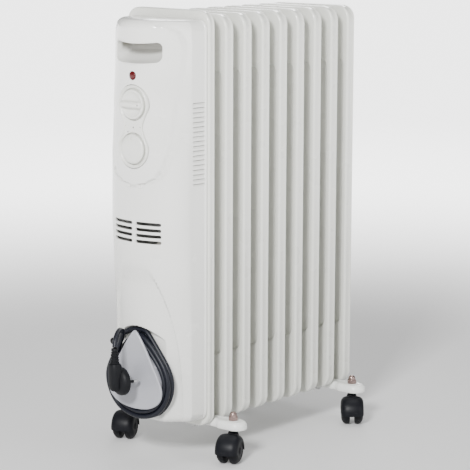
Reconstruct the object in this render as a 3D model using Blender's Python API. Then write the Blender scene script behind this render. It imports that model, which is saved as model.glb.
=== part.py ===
"""Oil filled radiator heater on four twin-wheel casters, at rest, in metres with +Z up.

The control casing faces -Y and the nine sections follow it along +Y. X = 0 is the plane of symmetry of the body.
"""

import math

import bmesh
import bpy
from mathutils import Matrix, Vector

MM = 0.001
GAP = 0.3 * MM
Y_SHIFT = -114.75 * MM

# Radiator sections. Depths run from the rear edge of the first section's rim.
PITCH = 40.0 * MM
FIN_HALF = 76.3 * MM
FIN_BOTTOM = 50.0 * MM
FIN_TOP = 627.0 * MM
FIRST_BOTTOM = 47.5 * MM
FIRST_TOP = 634.0 * MM
FIN_CORNER = 20.0 * MM
RIM_DEPTH = 16.0 * MM
FIRST_RIM_DEPTH = 12.0 * MM
RIM_WALL = 3.0 * MM
WEB = 3.0 * MM
CHANNEL_RISE = 4.0 * MM
PANEL_HALF = 70.0 * MM
PANEL_LOW = 142.0 * MM
PANEL_HIGH = 552.0 * MM
PANEL_DEEP = 4.0 * MM
HEADER_R = 23.0 * MM
HEADER_BORE = 17.0 * MM
UPPER_Z = 580.0 * MM
LOWER_Z = 97.0 * MM

# Control casing.
CASE_HALF = 70.0 * MM
CASE_REAR_HALF = 72.5 * MM
CASE_BOTTOM = 58.0 * MM
CASE_TOP = 622.0 * MM
CASE_CORNER = 14.0 * MM
CASE_REAR = -12.3 * MM
SIDE_FRONT = 41.0 * MM
WALL = 2.5 * MM
BAY_FLOOR = 64.0 * MM
BROW_Z = 197.0 * MM
BROW_DROP = 9.0

# Controls.
LAMP_Z = 546.0 * MM
UPPER_KNOB_Z = 506.5 * MM
LOWER_KNOB_Z = 445.0 * MM
KNOB_R = 20.5 * MM
PANEL_Y = -82.0 * MM
HANDLE_Z = 579.5 * MM
HANDLE_HALF = 42.0 * MM
HANDLE_TALL = 27.0 * MM
CUP_WALL = 3.0 * MM

# Feet and casters.
FOOT_Y = (12.0 * MM, 292.0 * MM)
STUD_X = 101.0 * MM
FOOT_HALF = 122.0 * MM
FOOT_Z = (47.0 * MM, 58.5 * MM)
WHEEL_R = 19.0 * MM
TRAIL = 15.0 * MM
CASTER_TURN = {"fl": 25.0, "fr": 21.0, "rl": -40.0, "rr": 40.0}

COLOURS = {
    "paint": ((0.80, 0.80, 0.76, 1), 0.35, 0.0),
    "plastic": ((0.82, 0.82, 0.79, 1), 0.4, 0.0),
    "black": ((0.02, 0.02, 0.025, 1), 0.45, 0.0),
    "red": ((0.25, 0.01, 0.01, 1), 0.2, 0.0),
    "steel": ((0.6, 0.6, 0.6, 1), 0.35, 1.0),
    "copper": ((0.72, 0.52, 0.47, 1), 0.3, 1.0),
    "ceramic": ((0.75, 0.72, 0.66, 1), 0.6, 0.0),
    "cord": ((0.03, 0.035, 0.05, 1), 0.5, 0.0),
}


def clear():
    for item in list(bpy.data.objects):
        bpy.data.objects.remove(item, do_unlink=True)


def material(name, kind):
    colour, roughness, metallic = COLOURS[kind]
    mat = bpy.data.materials.new(name)
    mat.use_nodes = True
    shader = mat.node_tree.nodes["Principled BSDF"]
    shader.inputs["Base Color"].default_value = colour
    shader.inputs["Roughness"].default_value = roughness
    shader.inputs["Metallic"].default_value = metallic
    mat.diffuse_color = colour
    return mat


def build(name, verts, faces, smooth=False):
    """A mesh object with its normals turned outwards."""
    mesh = bpy.data.meshes.new(name)
    mesh.from_pydata([tuple(v) for v in verts], [], faces)
    mesh.update()
    bm = bmesh.new()
    bm.from_mesh(mesh)
    bmesh.ops.recalc_face_normals(bm, faces=bm.faces)
    bm.to_mesh(mesh)
    bm.free()
    obj = bpy.data.objects.new(name, mesh)
    bpy.context.scene.collection.objects.link(obj)
    if smooth:
        shade(obj)
    return obj


def shade(obj):
    for face in obj.data.polygons:
        face.use_smooth = True
    obj.data.set_sharp_from_angle(angle=math.radians(35))


def loft(name, loops, closed=False, smooth=False):
    """A solid through closed loops of equal count, capped at both ends, or joined end to start."""
    count = len(loops[0])
    verts = [v for loop in loops for v in loop]
    faces = []
    pairs = len(loops) if closed else len(loops) - 1
    for i in range(pairs):
        a = i * count
        b = ((i + 1) % len(loops)) * count
        for j in range(count):
            k = (j + 1) % count
            faces.append((a + j, a + k, b + k, b + j))
    if not closed:
        faces.append(tuple(range(count)))
        faces.append(tuple(range(len(verts) - count, len(verts))))
    return build(name, verts, faces, smooth)


def turned(name, profile, segments=20, smooth=True, phase=0.0):
    """A solid of revolution about Z from (radius, z) pairs; a zero radius is a pole."""
    verts = []
    rings = []
    for radius, z in profile:
        if radius <= 1e-9:
            rings.append([len(verts)])
            verts.append((0, 0, z))
            continue
        start = len(verts)
        for i in range(segments):
            angle = 2 * math.pi * (i + phase) / segments
            verts.append((radius * math.cos(angle), radius * math.sin(angle), z))
        rings.append(list(range(start, start + segments)))
    faces = []
    for low, high in zip(rings, rings[1:]):
        for i in range(segments):
            k = (i + 1) % segments
            if len(low) == 1:
                faces.append((low[0], high[k], high[i]))
            elif len(high) == 1:
                faces.append((low[i], low[k], high[0]))
            else:
                faces.append((low[i], low[k], high[k], high[i]))
    if len(rings[0]) > 1:
        faces.append(tuple(reversed(rings[0])))
    if len(rings[-1]) > 1:
        faces.append(tuple(rings[-1]))
    return build(name, verts, faces, smooth)


def ring_solid(name, profile, segments=20, phase=0.0):
    """A turned ring about Z: the profile is a closed loop of (radius, z) pairs clear of the axis."""
    loops = []
    for i in range(segments):
        angle = 2 * math.pi * (i + phase) / segments
        loops.append([(r * math.cos(angle), r * math.sin(angle), z) for r, z in profile])
    return loft(name, loops, closed=True, smooth=True)


def box(name, low, high):
    x0, y0, z0 = low
    x1, y1, z1 = high
    loop = [(x0, y0), (x1, y0), (x1, y1), (x0, y1)]
    return loft(name, [[(x, y, z) for x, y in loop] for z in (z0, z1)])


def moved(obj, matrix):
    obj.data.transform(matrix)
    return obj


def to_y(obj, x=0.0, y=0.0, z=0.0):
    """Turns a Z-axis solid so that its +Z end faces -Y, then places it."""
    return moved(obj, Matrix.Translation((x, y, z)) @ Matrix.Rotation(math.radians(90), 4, "X"))


def combine(obj, other, operation):
    """Bakes one exact Boolean and removes the tool."""
    modifier = obj.modifiers.new("bool", "BOOLEAN")
    modifier.operation = operation
    modifier.solver = "EXACT"
    modifier.object = other
    graph = bpy.context.evaluated_depsgraph_get()
    graph.update()
    mesh = bpy.data.meshes.new_from_object(obj.evaluated_get(graph))
    obj.modifiers.clear()
    old = obj.data
    obj.data = mesh
    mesh.name = obj.name
    bpy.data.meshes.remove(old)
    bpy.data.objects.remove(other, do_unlink=True)
    return obj


def cut(obj, other):
    return combine(obj, other, "DIFFERENCE")


def join(obj, other):
    return combine(obj, other, "UNION")


def copy_of(obj, name):
    twin = bpy.data.objects.new(name, obj.data)
    bpy.context.scene.collection.objects.link(twin)
    return twin


def smoothstep(t):
    t = min(1.0, max(0.0, t))
    return t * t * (3 - 2 * t)


def along(table, value):
    """Smooth interpolation in a list of (value, result) pairs sorted by value."""
    if value <= table[0][0]:
        return table[0][1]
    for (a, fa), (b, fb) in zip(table, table[1:]):
        if value <= b:
            return fa + (fb - fa) * smoothstep((value - a) / (b - a))
    return table[-1][1]


# Sections


def rounded(half_x, low, high, radius, steps=3):
    """The outline of a rounded rectangle as (x, z) pairs."""
    points = []
    corners = ((1, high, 0), (-1, high, 90), (-1, low, 180), (1, low, 270))
    for side, level, start in corners:
        cx = side * (half_x - radius)
        cz = level + (radius if level == low else -radius)
        for i in range(steps + 1):
            angle = math.radians(start + 90 * i / steps)
            points.append((cx + radius * math.cos(angle), cz + radius * math.sin(angle)))
    return points


def fin(name, low, high, depth):
    """One section: a flat face with a rounded rim and a pressed panel, open behind round the oil channel."""
    web = -depth / 2
    half = FIN_HALF
    edge = 2.5 * MM
    round_over = 4.0 * MM
    inner = FIN_CORNER - RIM_WALL

    def at(outline, y):
        return [(x, y, z) for x, z in outline]

    def panel(inset):
        return rounded(PANEL_HALF - inset, PANEL_LOW + inset, PANEL_HIGH - inset, 14 * MM - inset)

    outer = rounded(half, low, high, FIN_CORNER)
    face = rounded(half - round_over, low + round_over, high - round_over, FIN_CORNER - round_over)
    lip = rounded(half - RIM_WALL, low + RIM_WALL, high - RIM_WALL, inner)
    foot = rounded(half - 11 * MM, low + 30 * MM, high - 30 * MM, 26 * MM)
    crest = rounded(half - 17 * MM, low + 38 * MM, high - 38 * MM, 22 * MM)
    w = WEB / 2
    loops = [
        at(panel(4 * MM), -depth + PANEL_DEEP),
        at(panel(0), -depth),
        at(face, -depth),
        at(outer, -depth + round_over),
        at(outer, -edge),
        at(lip, 0),
        at(lip, web + w),
        at(foot, web + w),
        at(crest, web + w + CHANNEL_RISE),
    ]
    obj = loft(name, loops, smooth=True)
    for z in (UPPER_Z, LOWER_Z):
        tool = turned("tool", [(HEADER_R + 0.8 * MM, -0.05), (HEADER_R + 0.8 * MM, 0.05)], 16, False)
        cut(obj, to_y(tool, 0, 0, z))
    shade(obj)
    return obj


def sections():
    first = fin("fin_1", FIRST_BOTTOM, FIRST_TOP, FIRST_RIM_DEPTH)
    made = [first]
    second = fin("fin_2", FIN_BOTTOM, FIN_TOP, RIM_DEPTH)
    second.location.y = PITCH
    made.append(second)
    for number in range(3, 10):
        twin = copy_of(second, f"fin_{number}")
        twin.location.y = (number - 1) * PITCH
        made.append(twin)
    end = 8 * PITCH - 2 * MM
    front = -FIRST_RIM_DEPTH
    r, bore, wall = HEADER_R, HEADER_BORE, 3 * MM
    lower = ring_profile_cup("lower_header", r, bore, front, end, wall)
    to_y(lower, 0, 0, LOWER_Z)
    upper = ring_profile_cup("upper_header", r, bore, front, end, wall)
    to_y(upper, 0, 0, UPPER_Z)
    return made + [lower, upper]


def ring_profile_cup(name, outer, bore, front, end, wall):
    """A tube about Z, open at its +Z end (which to_y turns to -Y) and closed at the other."""
    profile = [
        (0.0, -end),
        (outer, -end),
        (outer, -front),
        (bore, -front),
        (bore, -end + wall),
        (0.0, -end + wall),
    ]
    return turned(name, profile, 16)


# Casing


def nose_power(z):
    return along(
        (
            (0.060, 0.95),
            (0.170, 0.86),
            (0.280, 0.60),
            (0.350, 0.50),
            (0.430, 0.52),
            (0.500, 0.74),
            (0.560, 0.96),
            (0.600, 1.00),
        ),
        z,
    )


def nose_depth(z):
    return along(((0.060, 0.0385), (0.200, 0.041), (0.300, 0.042), (0.480, 0.041), (0.620, 0.040)), z)


PANEL_WIDTH = (
    (0.396, 0.004),
    (0.400, 0.020),
    (0.408, 0.033),
    (0.420, 0.041),
    (0.450, 0.049),
    (0.485, 0.052),
    (0.515, 0.054),
    (0.560, 0.059),
    (0.590, 0.060),
    (0.604, 0.056),
    (0.612, 0.046),
    (0.616, 0.030),
)


def panel_rise(x, z):
    """Height of the raised control panel over the crowned nose."""
    if z < 0.388 or z > 0.620:
        return 0.0
    half = along(PANEL_WIDTH, z) + 7 * MM
    side = smoothstep((half - abs(x)) / (7 * MM))
    low = smoothstep((z - 0.388) / 0.012)
    high = smoothstep((0.620 - z) / 0.006)
    return 2.5 * MM * side * low * high


def arch_half(z):
    t = min(1.0, max(0.0, (z - 0.060) / 0.225))
    return 0.062 * (1 - t**2.6) ** 0.45


def front_y(x, z):
    """Depth of the casing's front surface, as a negative number."""
    u = min(1.0, abs(x) / CASE_HALF)
    nose = SIDE_FRONT + nose_depth(z) * (1 - u * u) ** nose_power(z)
    nose += panel_rise(x, z)
    if z < 0.285:
        inside = smoothstep((arch_half(z) - abs(x)) / (10 * MM))
        nose -= 3 * MM * inside * smoothstep((0.285 - z) / 0.05)
    brow = BROW_Z - BROW_DROP * x * x
    if z < brow:
        nose = min(nose, BAY_FLOOR + 18 * MM * (1 - smoothstep((brow - z) / (5 * MM))))
    return -nose


def case_loop(z, inset, columns):
    """One horizontal outline of the casing, rear edge to rear edge, inset from its outer surface."""
    low = CASE_BOTTOM + inset
    high = CASE_TOP - inset
    radius = CASE_CORNER - inset
    from_end = min(z - low, high - z)
    shrink = 0.0
    if from_end < radius:
        shrink = radius - math.sqrt(max(0.0, radius * radius - (radius - from_end) ** 2))
    front_fillet = 8 * MM
    back = 0.0
    if from_end < front_fillet:
        back = front_fillet - math.sqrt(max(0.0, front_fillet**2 - (front_fillet - from_end) ** 2))
    rear = CASE_REAR - (0.0 if inset == 0 else -0.01)
    half_rear = CASE_REAR_HALF - inset - shrink
    half = CASE_HALF - inset - shrink
    points = [(half_rear, rear, z)]
    for i in range(columns):
        u = math.cos(math.pi * i / (columns - 1))
        x = half * (0.72 * u + 0.28 * u**3)
        y = front_y(x * CASE_HALF / half, z) + inset + back
        points.append((x, y, z))
    points.append((-half_rear, rear, z))
    return points


def case_levels(inset, coarse):
    low = CASE_BOTTOM + inset
    high = CASE_TOP - inset
    ends = (0.0, 0.002, 0.006, 0.014)
    middle = [0.105, 0.150, 0.170, 0.179, 0.184, 0.1915, 0.1975, 0.215, 0.250, 0.285]
    middle += [0.340, 0.388, 0.400, 0.415, 0.450, 0.510, 0.570]
    if coarse:
        middle = [0.105, 0.150, 0.170, 0.184, 0.1915, 0.1975, 0.215, 0.285, 0.400, 0.510, 0.570]
    levels = [low + e for e in ends] + middle + [high - e for e in reversed(ends)]
    return sorted(levels)


def case_solid(name, inset, columns, coarse=False):
    return loft(name, [case_loop(z, inset, columns) for z in case_levels(inset, coarse)])


def boxes(name, limits):
    """Separate boxes in one mesh, each from (low corner, high corner)."""
    verts = []
    faces = []
    for (x0, y0, z0), (x1, y1, z1) in limits:
        n = len(verts)
        for z in (z0, z1):
            verts += [(x0, y0, z), (x1, y0, z), (x1, y1, z), (x0, y1, z)]
        faces += [(n + 3, n + 2, n + 1, n), (n + 4, n + 5, n + 6, n + 7)]
        for i in range(4):
            k = (i + 1) % 4
            faces.append((n + i, n + k, n + 4 + k, n + 4 + i))
    return build(name, verts, faces)


def figure_eight(grow):
    """Outline of the control bezel as (x, z) pairs: two circles with a soft waist."""
    radius = 27.0 * MM + grow
    waist = 17.0 * MM + grow
    middle = (UPPER_KNOB_Z + LOWER_KNOB_Z) / 2
    points = []
    for centre, start in ((UPPER_KNOB_Z, -38), (LOWER_KNOB_Z, 142)):
        for i in range(9):
            angle = math.radians(start + 32 * i)
            points.append((radius * math.cos(angle), centre + radius * math.sin(angle)))
        points.append((-waist if start < 0 else waist, middle))
    return points


def prism(name, outline, y0, y1, smooth=False):
    return loft(name, [[(x, y, z) for x, z in outline] for y in (y0, y1)], smooth=smooth)


def handle_outline(grow):
    return rounded(
        HANDLE_HALF + grow, HANDLE_Z - HANDLE_TALL / 2 - grow, HANDLE_Z + HANDLE_TALL / 2 + grow, 8 * MM + grow, 3
    )


def casing():
    cover = case_solid("front_cover", 0.0, 15)
    cut(cover, case_solid("tool", WALL, 9, True))
    cut(cover, prism("tool", handle_outline(CUP_WALL + GAP), -0.12, -0.03))
    cut(cover, prism("tool", figure_eight(0), -0.12, -0.05))
    lamp = turned("tool", [(6.3 * MM, -0.01), (6.3 * MM, 0.04)], 16, False)
    cut(cover, to_y(lamp, 0, -0.07, LAMP_Z))
    vents = []
    for row in range(4):
        z = (342 - 8.4 * row) * MM
        for centre in (-23 * MM, 23 * MM):
            half = 18.5 * MM
            vents.append(((centre - half, -0.12, z - 1.35 * MM), (centre + half, -0.05, z + 1.35 * MM)))
    cut(cover, boxes("tool", vents))
    louvres = []
    for i in range(18):
        z = (508 - 6.6 * i) * MM
        for x0, x1 in ((60 * MM, 80 * MM), (-80 * MM, -60 * MM)):
            louvres.append(((x0, -38.6 * MM, z - 1.1 * MM), (x1, -16 * MM, z + 1.1 * MM)))
    cut(cover, boxes("tool", louvres))
    for face in cover.data.polygons:
        face.use_smooth = False
    shade(cover)

    plate_half = CASE_REAR_HALF - WALL - 1.6 * MM
    plate_outline = rounded(plate_half, CASE_BOTTOM + 3.2 * MM, CASE_TOP - 3.2 * MM, CASE_CORNER - 1 * MM, 3)
    plate = prism("casing_back_plate", plate_outline, -19 * MM, -17.5 * MM)
    hole = turned("tool", [(24 * MM, -0.03), (24 * MM, 0.03)], 20, False)
    cut(plate, to_y(hole, 0, -18 * MM, LOWER_Z))

    cup = prism("handle_cup", handle_outline(CUP_WALL), -0.12, -38 * MM)
    combine(cup, case_solid("tool", 0.0, 15), "INTERSECT")
    cut(cup, prism("tool", handle_outline(0), -0.12, -41 * MM))
    shade(cup)
    return [cover, plate, cup]


def controls():
    middle = (UPPER_KNOB_Z + LOWER_KNOB_Z) / 2
    bezel = prism("control_bezel", figure_eight(-0.5 * MM), -79.5 * MM, -83.5 * MM)
    for z in (UPPER_KNOB_Z, LOWER_KNOB_Z):
        dish = turned("tool", [(KNOB_R + 1.0 * MM, 0.0), (KNOB_R + 1.0 * MM, 0.02)], 28, False)
        cut(bezel, to_y(dish, 0, -81.0 * MM, z))
        bore = turned("tool", [(4.5 * MM, -0.03), (4.5 * MM, 0.03)], 14, False)
        cut(bezel, to_y(bore, 0, -80 * MM, z))
    made = [bezel]

    stem = 3.0 * MM
    upper = [
        (0.0, -16 * MM),
        (stem, -16 * MM),
        (stem, 0.3 * MM),
        (KNOB_R - 1 * MM, 0.3 * MM),
        (KNOB_R, 1.3 * MM),
        (KNOB_R, 4.0 * MM),
        (KNOB_R - 1.5 * MM, 5.2 * MM),
        (0.0, 5.6 * MM),
    ]
    knob = turned("selector_knob", upper, 24)
    grip = box("tool", (-19.6 * MM, -3.5 * MM, 3.6 * MM), (19.6 * MM, 3.5 * MM, 9.5 * MM))
    join(knob, grip)
    shade(knob)
    to_y(knob)
    knob.location = (0, -81.0 * MM, UPPER_KNOB_Z)
    lower = upper[:-2] + [(KNOB_R - 2 * MM, 5.4 * MM), (KNOB_R * 0.5, 6.8 * MM), (0.0, 7.2 * MM)]
    dial = turned("thermostat_knob", lower, 24)
    to_y(dial)
    dial.location = (0, -81.0 * MM, LOWER_KNOB_Z)
    made += [knob, dial]

    for name, z, half_x, half_z in (
        ("selector_switch", UPPER_KNOB_Z, 17 * MM, 17 * MM),
        ("thermostat", LOWER_KNOB_Z, 16 * MM, 21 * MM),
    ):
        body = box(name, (-half_x, -79.0 * MM, z - half_z), (half_x, -52 * MM, z + half_z))
        neck = turned("tool", [(stem + GAP, -0.02), (stem + GAP, 0.02)], 14, False)
        cut(body, to_y(neck, 0, -84.6 * MM, z))
        made.append(body)

    lens = turned(
        "pilot_lamp_lens",
        [
            (0.0, -6 * MM),
            (5.8 * MM, -6 * MM),
            (5.8 * MM, 0.6 * MM),
            (4.6 * MM, 1.6 * MM),
            (0.0, 2.2 * MM),
        ],
        16,
    )
    to_y(lens, 0, -83.5 * MM, LAMP_Z)
    holder = turned("pilot_lamp_holder", [(0.0, 0.0), (7 * MM, 0.0), (7 * MM, 14 * MM), (0.0, 14 * MM)], 12)
    to_y(holder, 0, -63.0 * MM, LAMP_Z)
    made += [lens, holder]

    cutout = turned("thermal_cutout", [(0.0, 0.0), (8 * MM, 0.0), (8 * MM, 9 * MM), (0.0, 9 * MM)], 14)
    to_y(cutout, 0, -19.3 * MM, 300 * MM)
    block = box("terminal_block", (-22 * MM, -35 * MM, 222 * MM), (22 * MM, -19.3 * MM, 240 * MM))
    made += [cutout, block]
    return made


def heating():
    """The tubular element runs down the lower header and back."""
    curve = bpy.data.curves.new("heating_element", "CURVE")
    curve.dimensions = "3D"
    curve.bevel_depth = 4 * MM
    curve.bevel_resolution = 1
    curve.use_fill_caps = True
    half = 8 * MM
    far = 292 * MM
    points = [(0, -34 * MM, LOWER_Z + half)]
    for i in range(7):
        angle = math.radians(90 - 30 * i)
        points.append((0, far + half * math.cos(angle), LOWER_Z + half * math.sin(angle)))
    points.append((0, -34 * MM, LOWER_Z - half))
    spline = curve.splines.new("POLY")
    spline.points.add(len(points) - 1)
    for point, place in zip(spline.points, points):
        point.co = (*place, 1)
    element = bpy.data.objects.new("heating_element", curve)
    bpy.context.scene.collection.objects.link(element)
    flange = turned("element_flange", [(0.0, 0.0), (22.5 * MM, 0.0), (22.5 * MM, 4.5 * MM), (0.0, 4.5 * MM)], 20)
    to_y(flange, 0, -12.3 * MM, LOWER_Z)
    for side in (-1, 1):
        bore = turned("tool", [(4.6 * MM, -0.02), (4.6 * MM, 0.02)], 12, False)
        cut(flange, to_y(bore, 0, -14 * MM, LOWER_Z + side * half))
    return [element, flange]


# Cord storage

SHIELD = (
    (0, 190),
    (9, 182),
    (21, 165),
    (34, 143),
    (45, 124),
    (50.5, 107),
    (45, 91.5),
    (27, 80.5),
    (0, 77),
)


# Middle line of the wound cord round the cleat's post.
COIL_LINE = (
    (0, 177.5),
    (10, 175.5),
    (20, 168.5),
    (33, 155.5),
    (46, 139),
    (53.3, 121),
    (51.5, 103),
    (42, 86),
    (26, 74),
    (0, 68.5),
)


def offset_loop(half_route, grow, count=28):
    """A symmetrical outline as evenly spaced (x, z) pairs, offset outwards by grow."""
    right = [Vector((x * MM, z * MM)) for x, z in half_route]
    left = [Vector((-p.x, p.y)) for p in reversed(right[1:-1])]
    ring = right + left
    dense = []
    total = len(ring)
    for i in range(total):
        p0, p1, p2, p3 = (ring[(i + k) % total] for k in (-1, 0, 1, 2))
        for j in range(12):
            t = j / 12
            a = 2 * p1 + (p2 - p0) * t + (2 * p0 - 5 * p1 + 4 * p2 - p3) * t * t
            dense.append((a + (3 * p1 - p0 - 3 * p2 + p3) * t**3) / 2)
    moved_out = []
    n = len(dense)
    for i in range(n):
        tangent = (dense[(i + 2) % n] - dense[i - 2]).normalized()
        moved_out.append(dense[i] + Vector((-tangent.y, tangent.x)) * grow)
    lengths = [0.0]
    for i in range(n):
        lengths.append(lengths[-1] + (moved_out[(i + 1) % n] - moved_out[i]).length)
    result = []
    k = 0
    for i in range(count):
        want = lengths[-1] * i / count
        while lengths[k + 1] < want:
            k += 1
        t = (want - lengths[k]) / max(1e-12, lengths[k + 1] - lengths[k])
        result.append(moved_out[k].lerp(moved_out[(k + 1) % n], t))
    return [(p.x, p.y) for p in result]


CORD_R = 3.5 * MM
COIL_FLOOR = -65.0 * MM
COIL_FACE = -79.6 * MM


def cord_storage():
    face = offset_loop(SHIELD, -0.4 * MM)
    neck = offset_loop(COIL_LINE, -8 * MM)
    loops = []
    for outline, y in (
        (neck, -64.3 * MM),
        (neck, -80.0 * MM),
        (face, -80.0 * MM),
        (face, -82.5 * MM),
        (offset_loop(SHIELD, -3 * MM), -83.3 * MM),
    ):
        loops.append([(x, y, z) for x, z in outline])
    cleat = loft("cord_cleat", loops, smooth=True)

    inner = offset_loop(COIL_LINE, -7.2 * MM, 26)
    outer = offset_loop(COIL_LINE, 7.2 * MM, 26)
    profile_loops = []
    for (xi, zi), (xo, zo) in zip(inner, outer):
        centre = Vector(((xi + xo) / 2, (zi + zo) / 2))
        out = (Vector((xo, zo)) - Vector((xi, zi))).normalized()
        loop = []
        for i in range(8):
            angle = 2 * math.pi * (i + 0.5) / 8
            reach = 7.2 * MM * max(-1.0, min(1.0, 1.25 * math.cos(angle)))
            deep = 7.2 * MM * max(-1.0, min(1.0, 1.25 * math.sin(angle)))
            spot = centre + out * reach
            loop.append((spot.x, (COIL_FLOOR + COIL_FACE) / 2 + deep, spot.y))
        profile_loops.append(loop)
    coil = loft("cord_coil", profile_loops, closed=True, smooth=True)
    return [cleat, coil]


def smooth_path(route, spacing):
    """Evenly spaced points on a Catmull-Rom curve through the route."""
    points = [Vector(p) for p in route]
    points = [2 * points[0] - points[1]] + points + [2 * points[-1] - points[-2]]
    dense = []
    for i in range(1, len(points) - 2):
        p0, p1, p2, p3 = points[i - 1 : i + 3]
        for j in range(24):
            t = j / 24
            a = 2 * p1 + (p2 - p0) * t + (2 * p0 - 5 * p1 + 4 * p2 - p3) * t * t
            dense.append((a + (3 * p1 - p0 - 3 * p2 + p3) * t**3) / 2)
    dense.append(points[-2])
    lengths = [0.0]
    for a, b in zip(dense, dense[1:]):
        lengths.append(lengths[-1] + (b - a).length)
    count = max(4, round(lengths[-1] / spacing))
    result = []
    k = 0
    for i in range(count + 1):
        want = lengths[-1] * i / count
        while k < len(dense) - 2 and lengths[k + 1] < want:
            k += 1
        t = (want - lengths[k]) / max(1e-12, lengths[k + 1] - lengths[k])
        result.append(dense[k].lerp(dense[k + 1], min(1.0, t)))
    return result


TAIL_ROUTE = (
    (-21.5, -84.2, 184),
    (-18, -92, 189),
    (-12, -103, 189.5),
    (-6.5, -114, 183),
    (-4, -119.2, 171.0),
)


def tube(name, route, radius, spacing, resolution):
    curve = bpy.data.curves.new(name, "CURVE")
    curve.dimensions = "3D"
    curve.bevel_depth = radius
    curve.bevel_resolution = resolution
    curve.use_fill_caps = True
    places = smooth_path([[c * MM for c in p] for p in route], spacing)
    spline = curve.splines.new("POLY")
    spline.points.add(len(places) - 1)
    for point, place in zip(spline.points, places):
        point.co = (*place, 1)
    obj = bpy.data.objects.new(name, curve)
    bpy.context.scene.collection.objects.link(obj)
    return obj


def plug():
    """Angled two-pin plug hanging on the cord, pins towards the cleat."""
    body = turned(
        "plug",
        [
            (0.0, 0.0),
            (18.6 * MM, 0.0),
            (19.7 * MM, 1.2 * MM),
            (19.7 * MM, 7 * MM),
            (15 * MM, 12 * MM),
            (0.0, 12.5 * MM),
        ],
        24,
    )
    for side in (-1, 1):
        pin = turned("tool", [(0.0, -18.5 * MM), (2.4 * MM, -18.5 * MM), (2.4 * MM, 2 * MM), (0.0, 2 * MM)], 10)
        join(body, moved(pin, Matrix.Translation((side * 9.5 * MM, 0, 0))))
    to_y(body, 0, 14.5 * MM, -49 * MM)
    grip = turned(
        "tool",
        [
            (0.0, -62 * MM),
            (6.5 * MM, -61 * MM),
            (9.5 * MM, -55 * MM),
            (9.8 * MM, -34 * MM),
            (8.2 * MM, -24 * MM),
            (6.0 * MM, -22 * MM),
            (4.6 * MM, -1.0 * MM),
            (0.0, -1.0 * MM),
        ],
        16,
    )
    join(body, grip)
    shade(body)
    turn = Matrix.Rotation(math.radians(-14), 4, "Z")
    place = Matrix.Translation((-4 * MM, -119.2 * MM, 170.2 * MM))
    return moved(body, place @ turn)


def gland():
    """Tapered strain relief where the cord leaves the casing."""
    obj = turned(
        "cord_gland",
        [
            (0.0, 0.0),
            (4.4 * MM, 0.0),
            (4.8 * MM, 5 * MM),
            (4.0 * MM, 20 * MM),
            (0.0, 20 * MM),
        ],
        14,
    )
    lean = Matrix.Rotation(math.radians(53.13), 4, "Y")
    return moved(obj, Matrix.Translation((-52 * MM, -69.6 * MM, 164 * MM)) @ lean)


# Feet and casters


def foot(name, y):
    """A pressed channel bracket, widened into a wing at each end, open below."""
    narrow = 11.4 * MM
    wide = 15.5 * MM

    def outline(inset):
        points = []
        for side in (1, -1):
            tip = FOOT_HALF - wide
            ring = [(side * 79 * MM, -side * (narrow - inset)), (side * 86 * MM, -side * (wide - inset))]
            for i in range(5):
                angle = math.radians(-90 + 45 * i)
                r = wide - inset
                ring.append((side * (tip + r * math.cos(angle)), side * r * math.sin(angle)))
            ring += [(side * 86 * MM, side * (wide - inset)), (side * 79 * MM, side * (narrow - inset))]
            points += ring
        return points

    low, high = FOOT_Z
    loops = []
    for inset, z in (
        (2.5 * MM, high - 2.5 * MM),
        (2.5 * MM, low),
        (0.3 * MM, low),
        (0.0, low + 0.5 * MM),
        (0.0, high - 3 * MM),
        (0.9 * MM, high - 0.9 * MM),
        (3.0 * MM, high),
    ):
        loops.append([(px, py, z) for px, py in outline(inset)])
    obj = loft(name, loops)
    for side in (-1, 1):
        boss = turned("tool", [(7.5 * MM, low), (7.5 * MM, high - 1 * MM)], 12, False)
        join(obj, moved(boss, Matrix.Translation((side * STUD_X, 0, 0))))
        bore = turned("tool", [(3.4 * MM, 0.0), (3.4 * MM, 0.1)], 12, False)
        cut(obj, moved(bore, Matrix.Translation((side * STUD_X, 0, 0))))
    hook = turned("tool", [(3.0 * MM, 0.0), (3.0 * MM, 0.1)], 10, False)
    cut(obj, moved(hook, Matrix.Translation((27 * MM, 0, 0))))
    shade(obj)
    obj.location = (0, y, 0)
    return obj


def hook_bolt(name, y):
    """A rod hooked over the lower header, its leg going down through the bracket."""
    reach = 27 * MM
    points = [(reach, 0, 37 * MM), (reach, 0, LOWER_Z)]
    for i in range(1, 11):
        angle = math.radians(20 * i)
        points.append((reach * math.cos(angle), 0, LOWER_Z + reach * math.sin(angle)))
    curve = bpy.data.curves.new(name, "CURVE")
    curve.dimensions = "3D"
    curve.bevel_depth = 2.5 * MM
    curve.bevel_resolution = 1
    curve.use_fill_caps = True
    spline = curve.splines.new("POLY")
    spline.points.add(len(points) - 1)
    for point, place in zip(spline.points, points):
        point.co = (*place, 1)
    obj = bpy.data.objects.new(name, curve)
    bpy.context.scene.collection.objects.link(obj)
    obj.location = (0, y, 0)
    return obj


def wing_nut(name, y):
    obj = turned("tool_body", [(0.0, 39.5 * MM), (5 * MM, 39.5 * MM), (6 * MM, 46.6 * MM), (0.0, 46.6 * MM)], 12)
    wing = box("tool", (-14 * MM, -1.2 * MM, 38.5 * MM), (14 * MM, 1.2 * MM, 45 * MM))
    join(obj, wing)
    bore = turned("tool", [(2.9 * MM, 0.0), (2.9 * MM, 0.1)], 10, False)
    cut(obj, bore)
    obj.name = name
    obj.location = (27 * MM, y, 0)
    return obj


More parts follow.
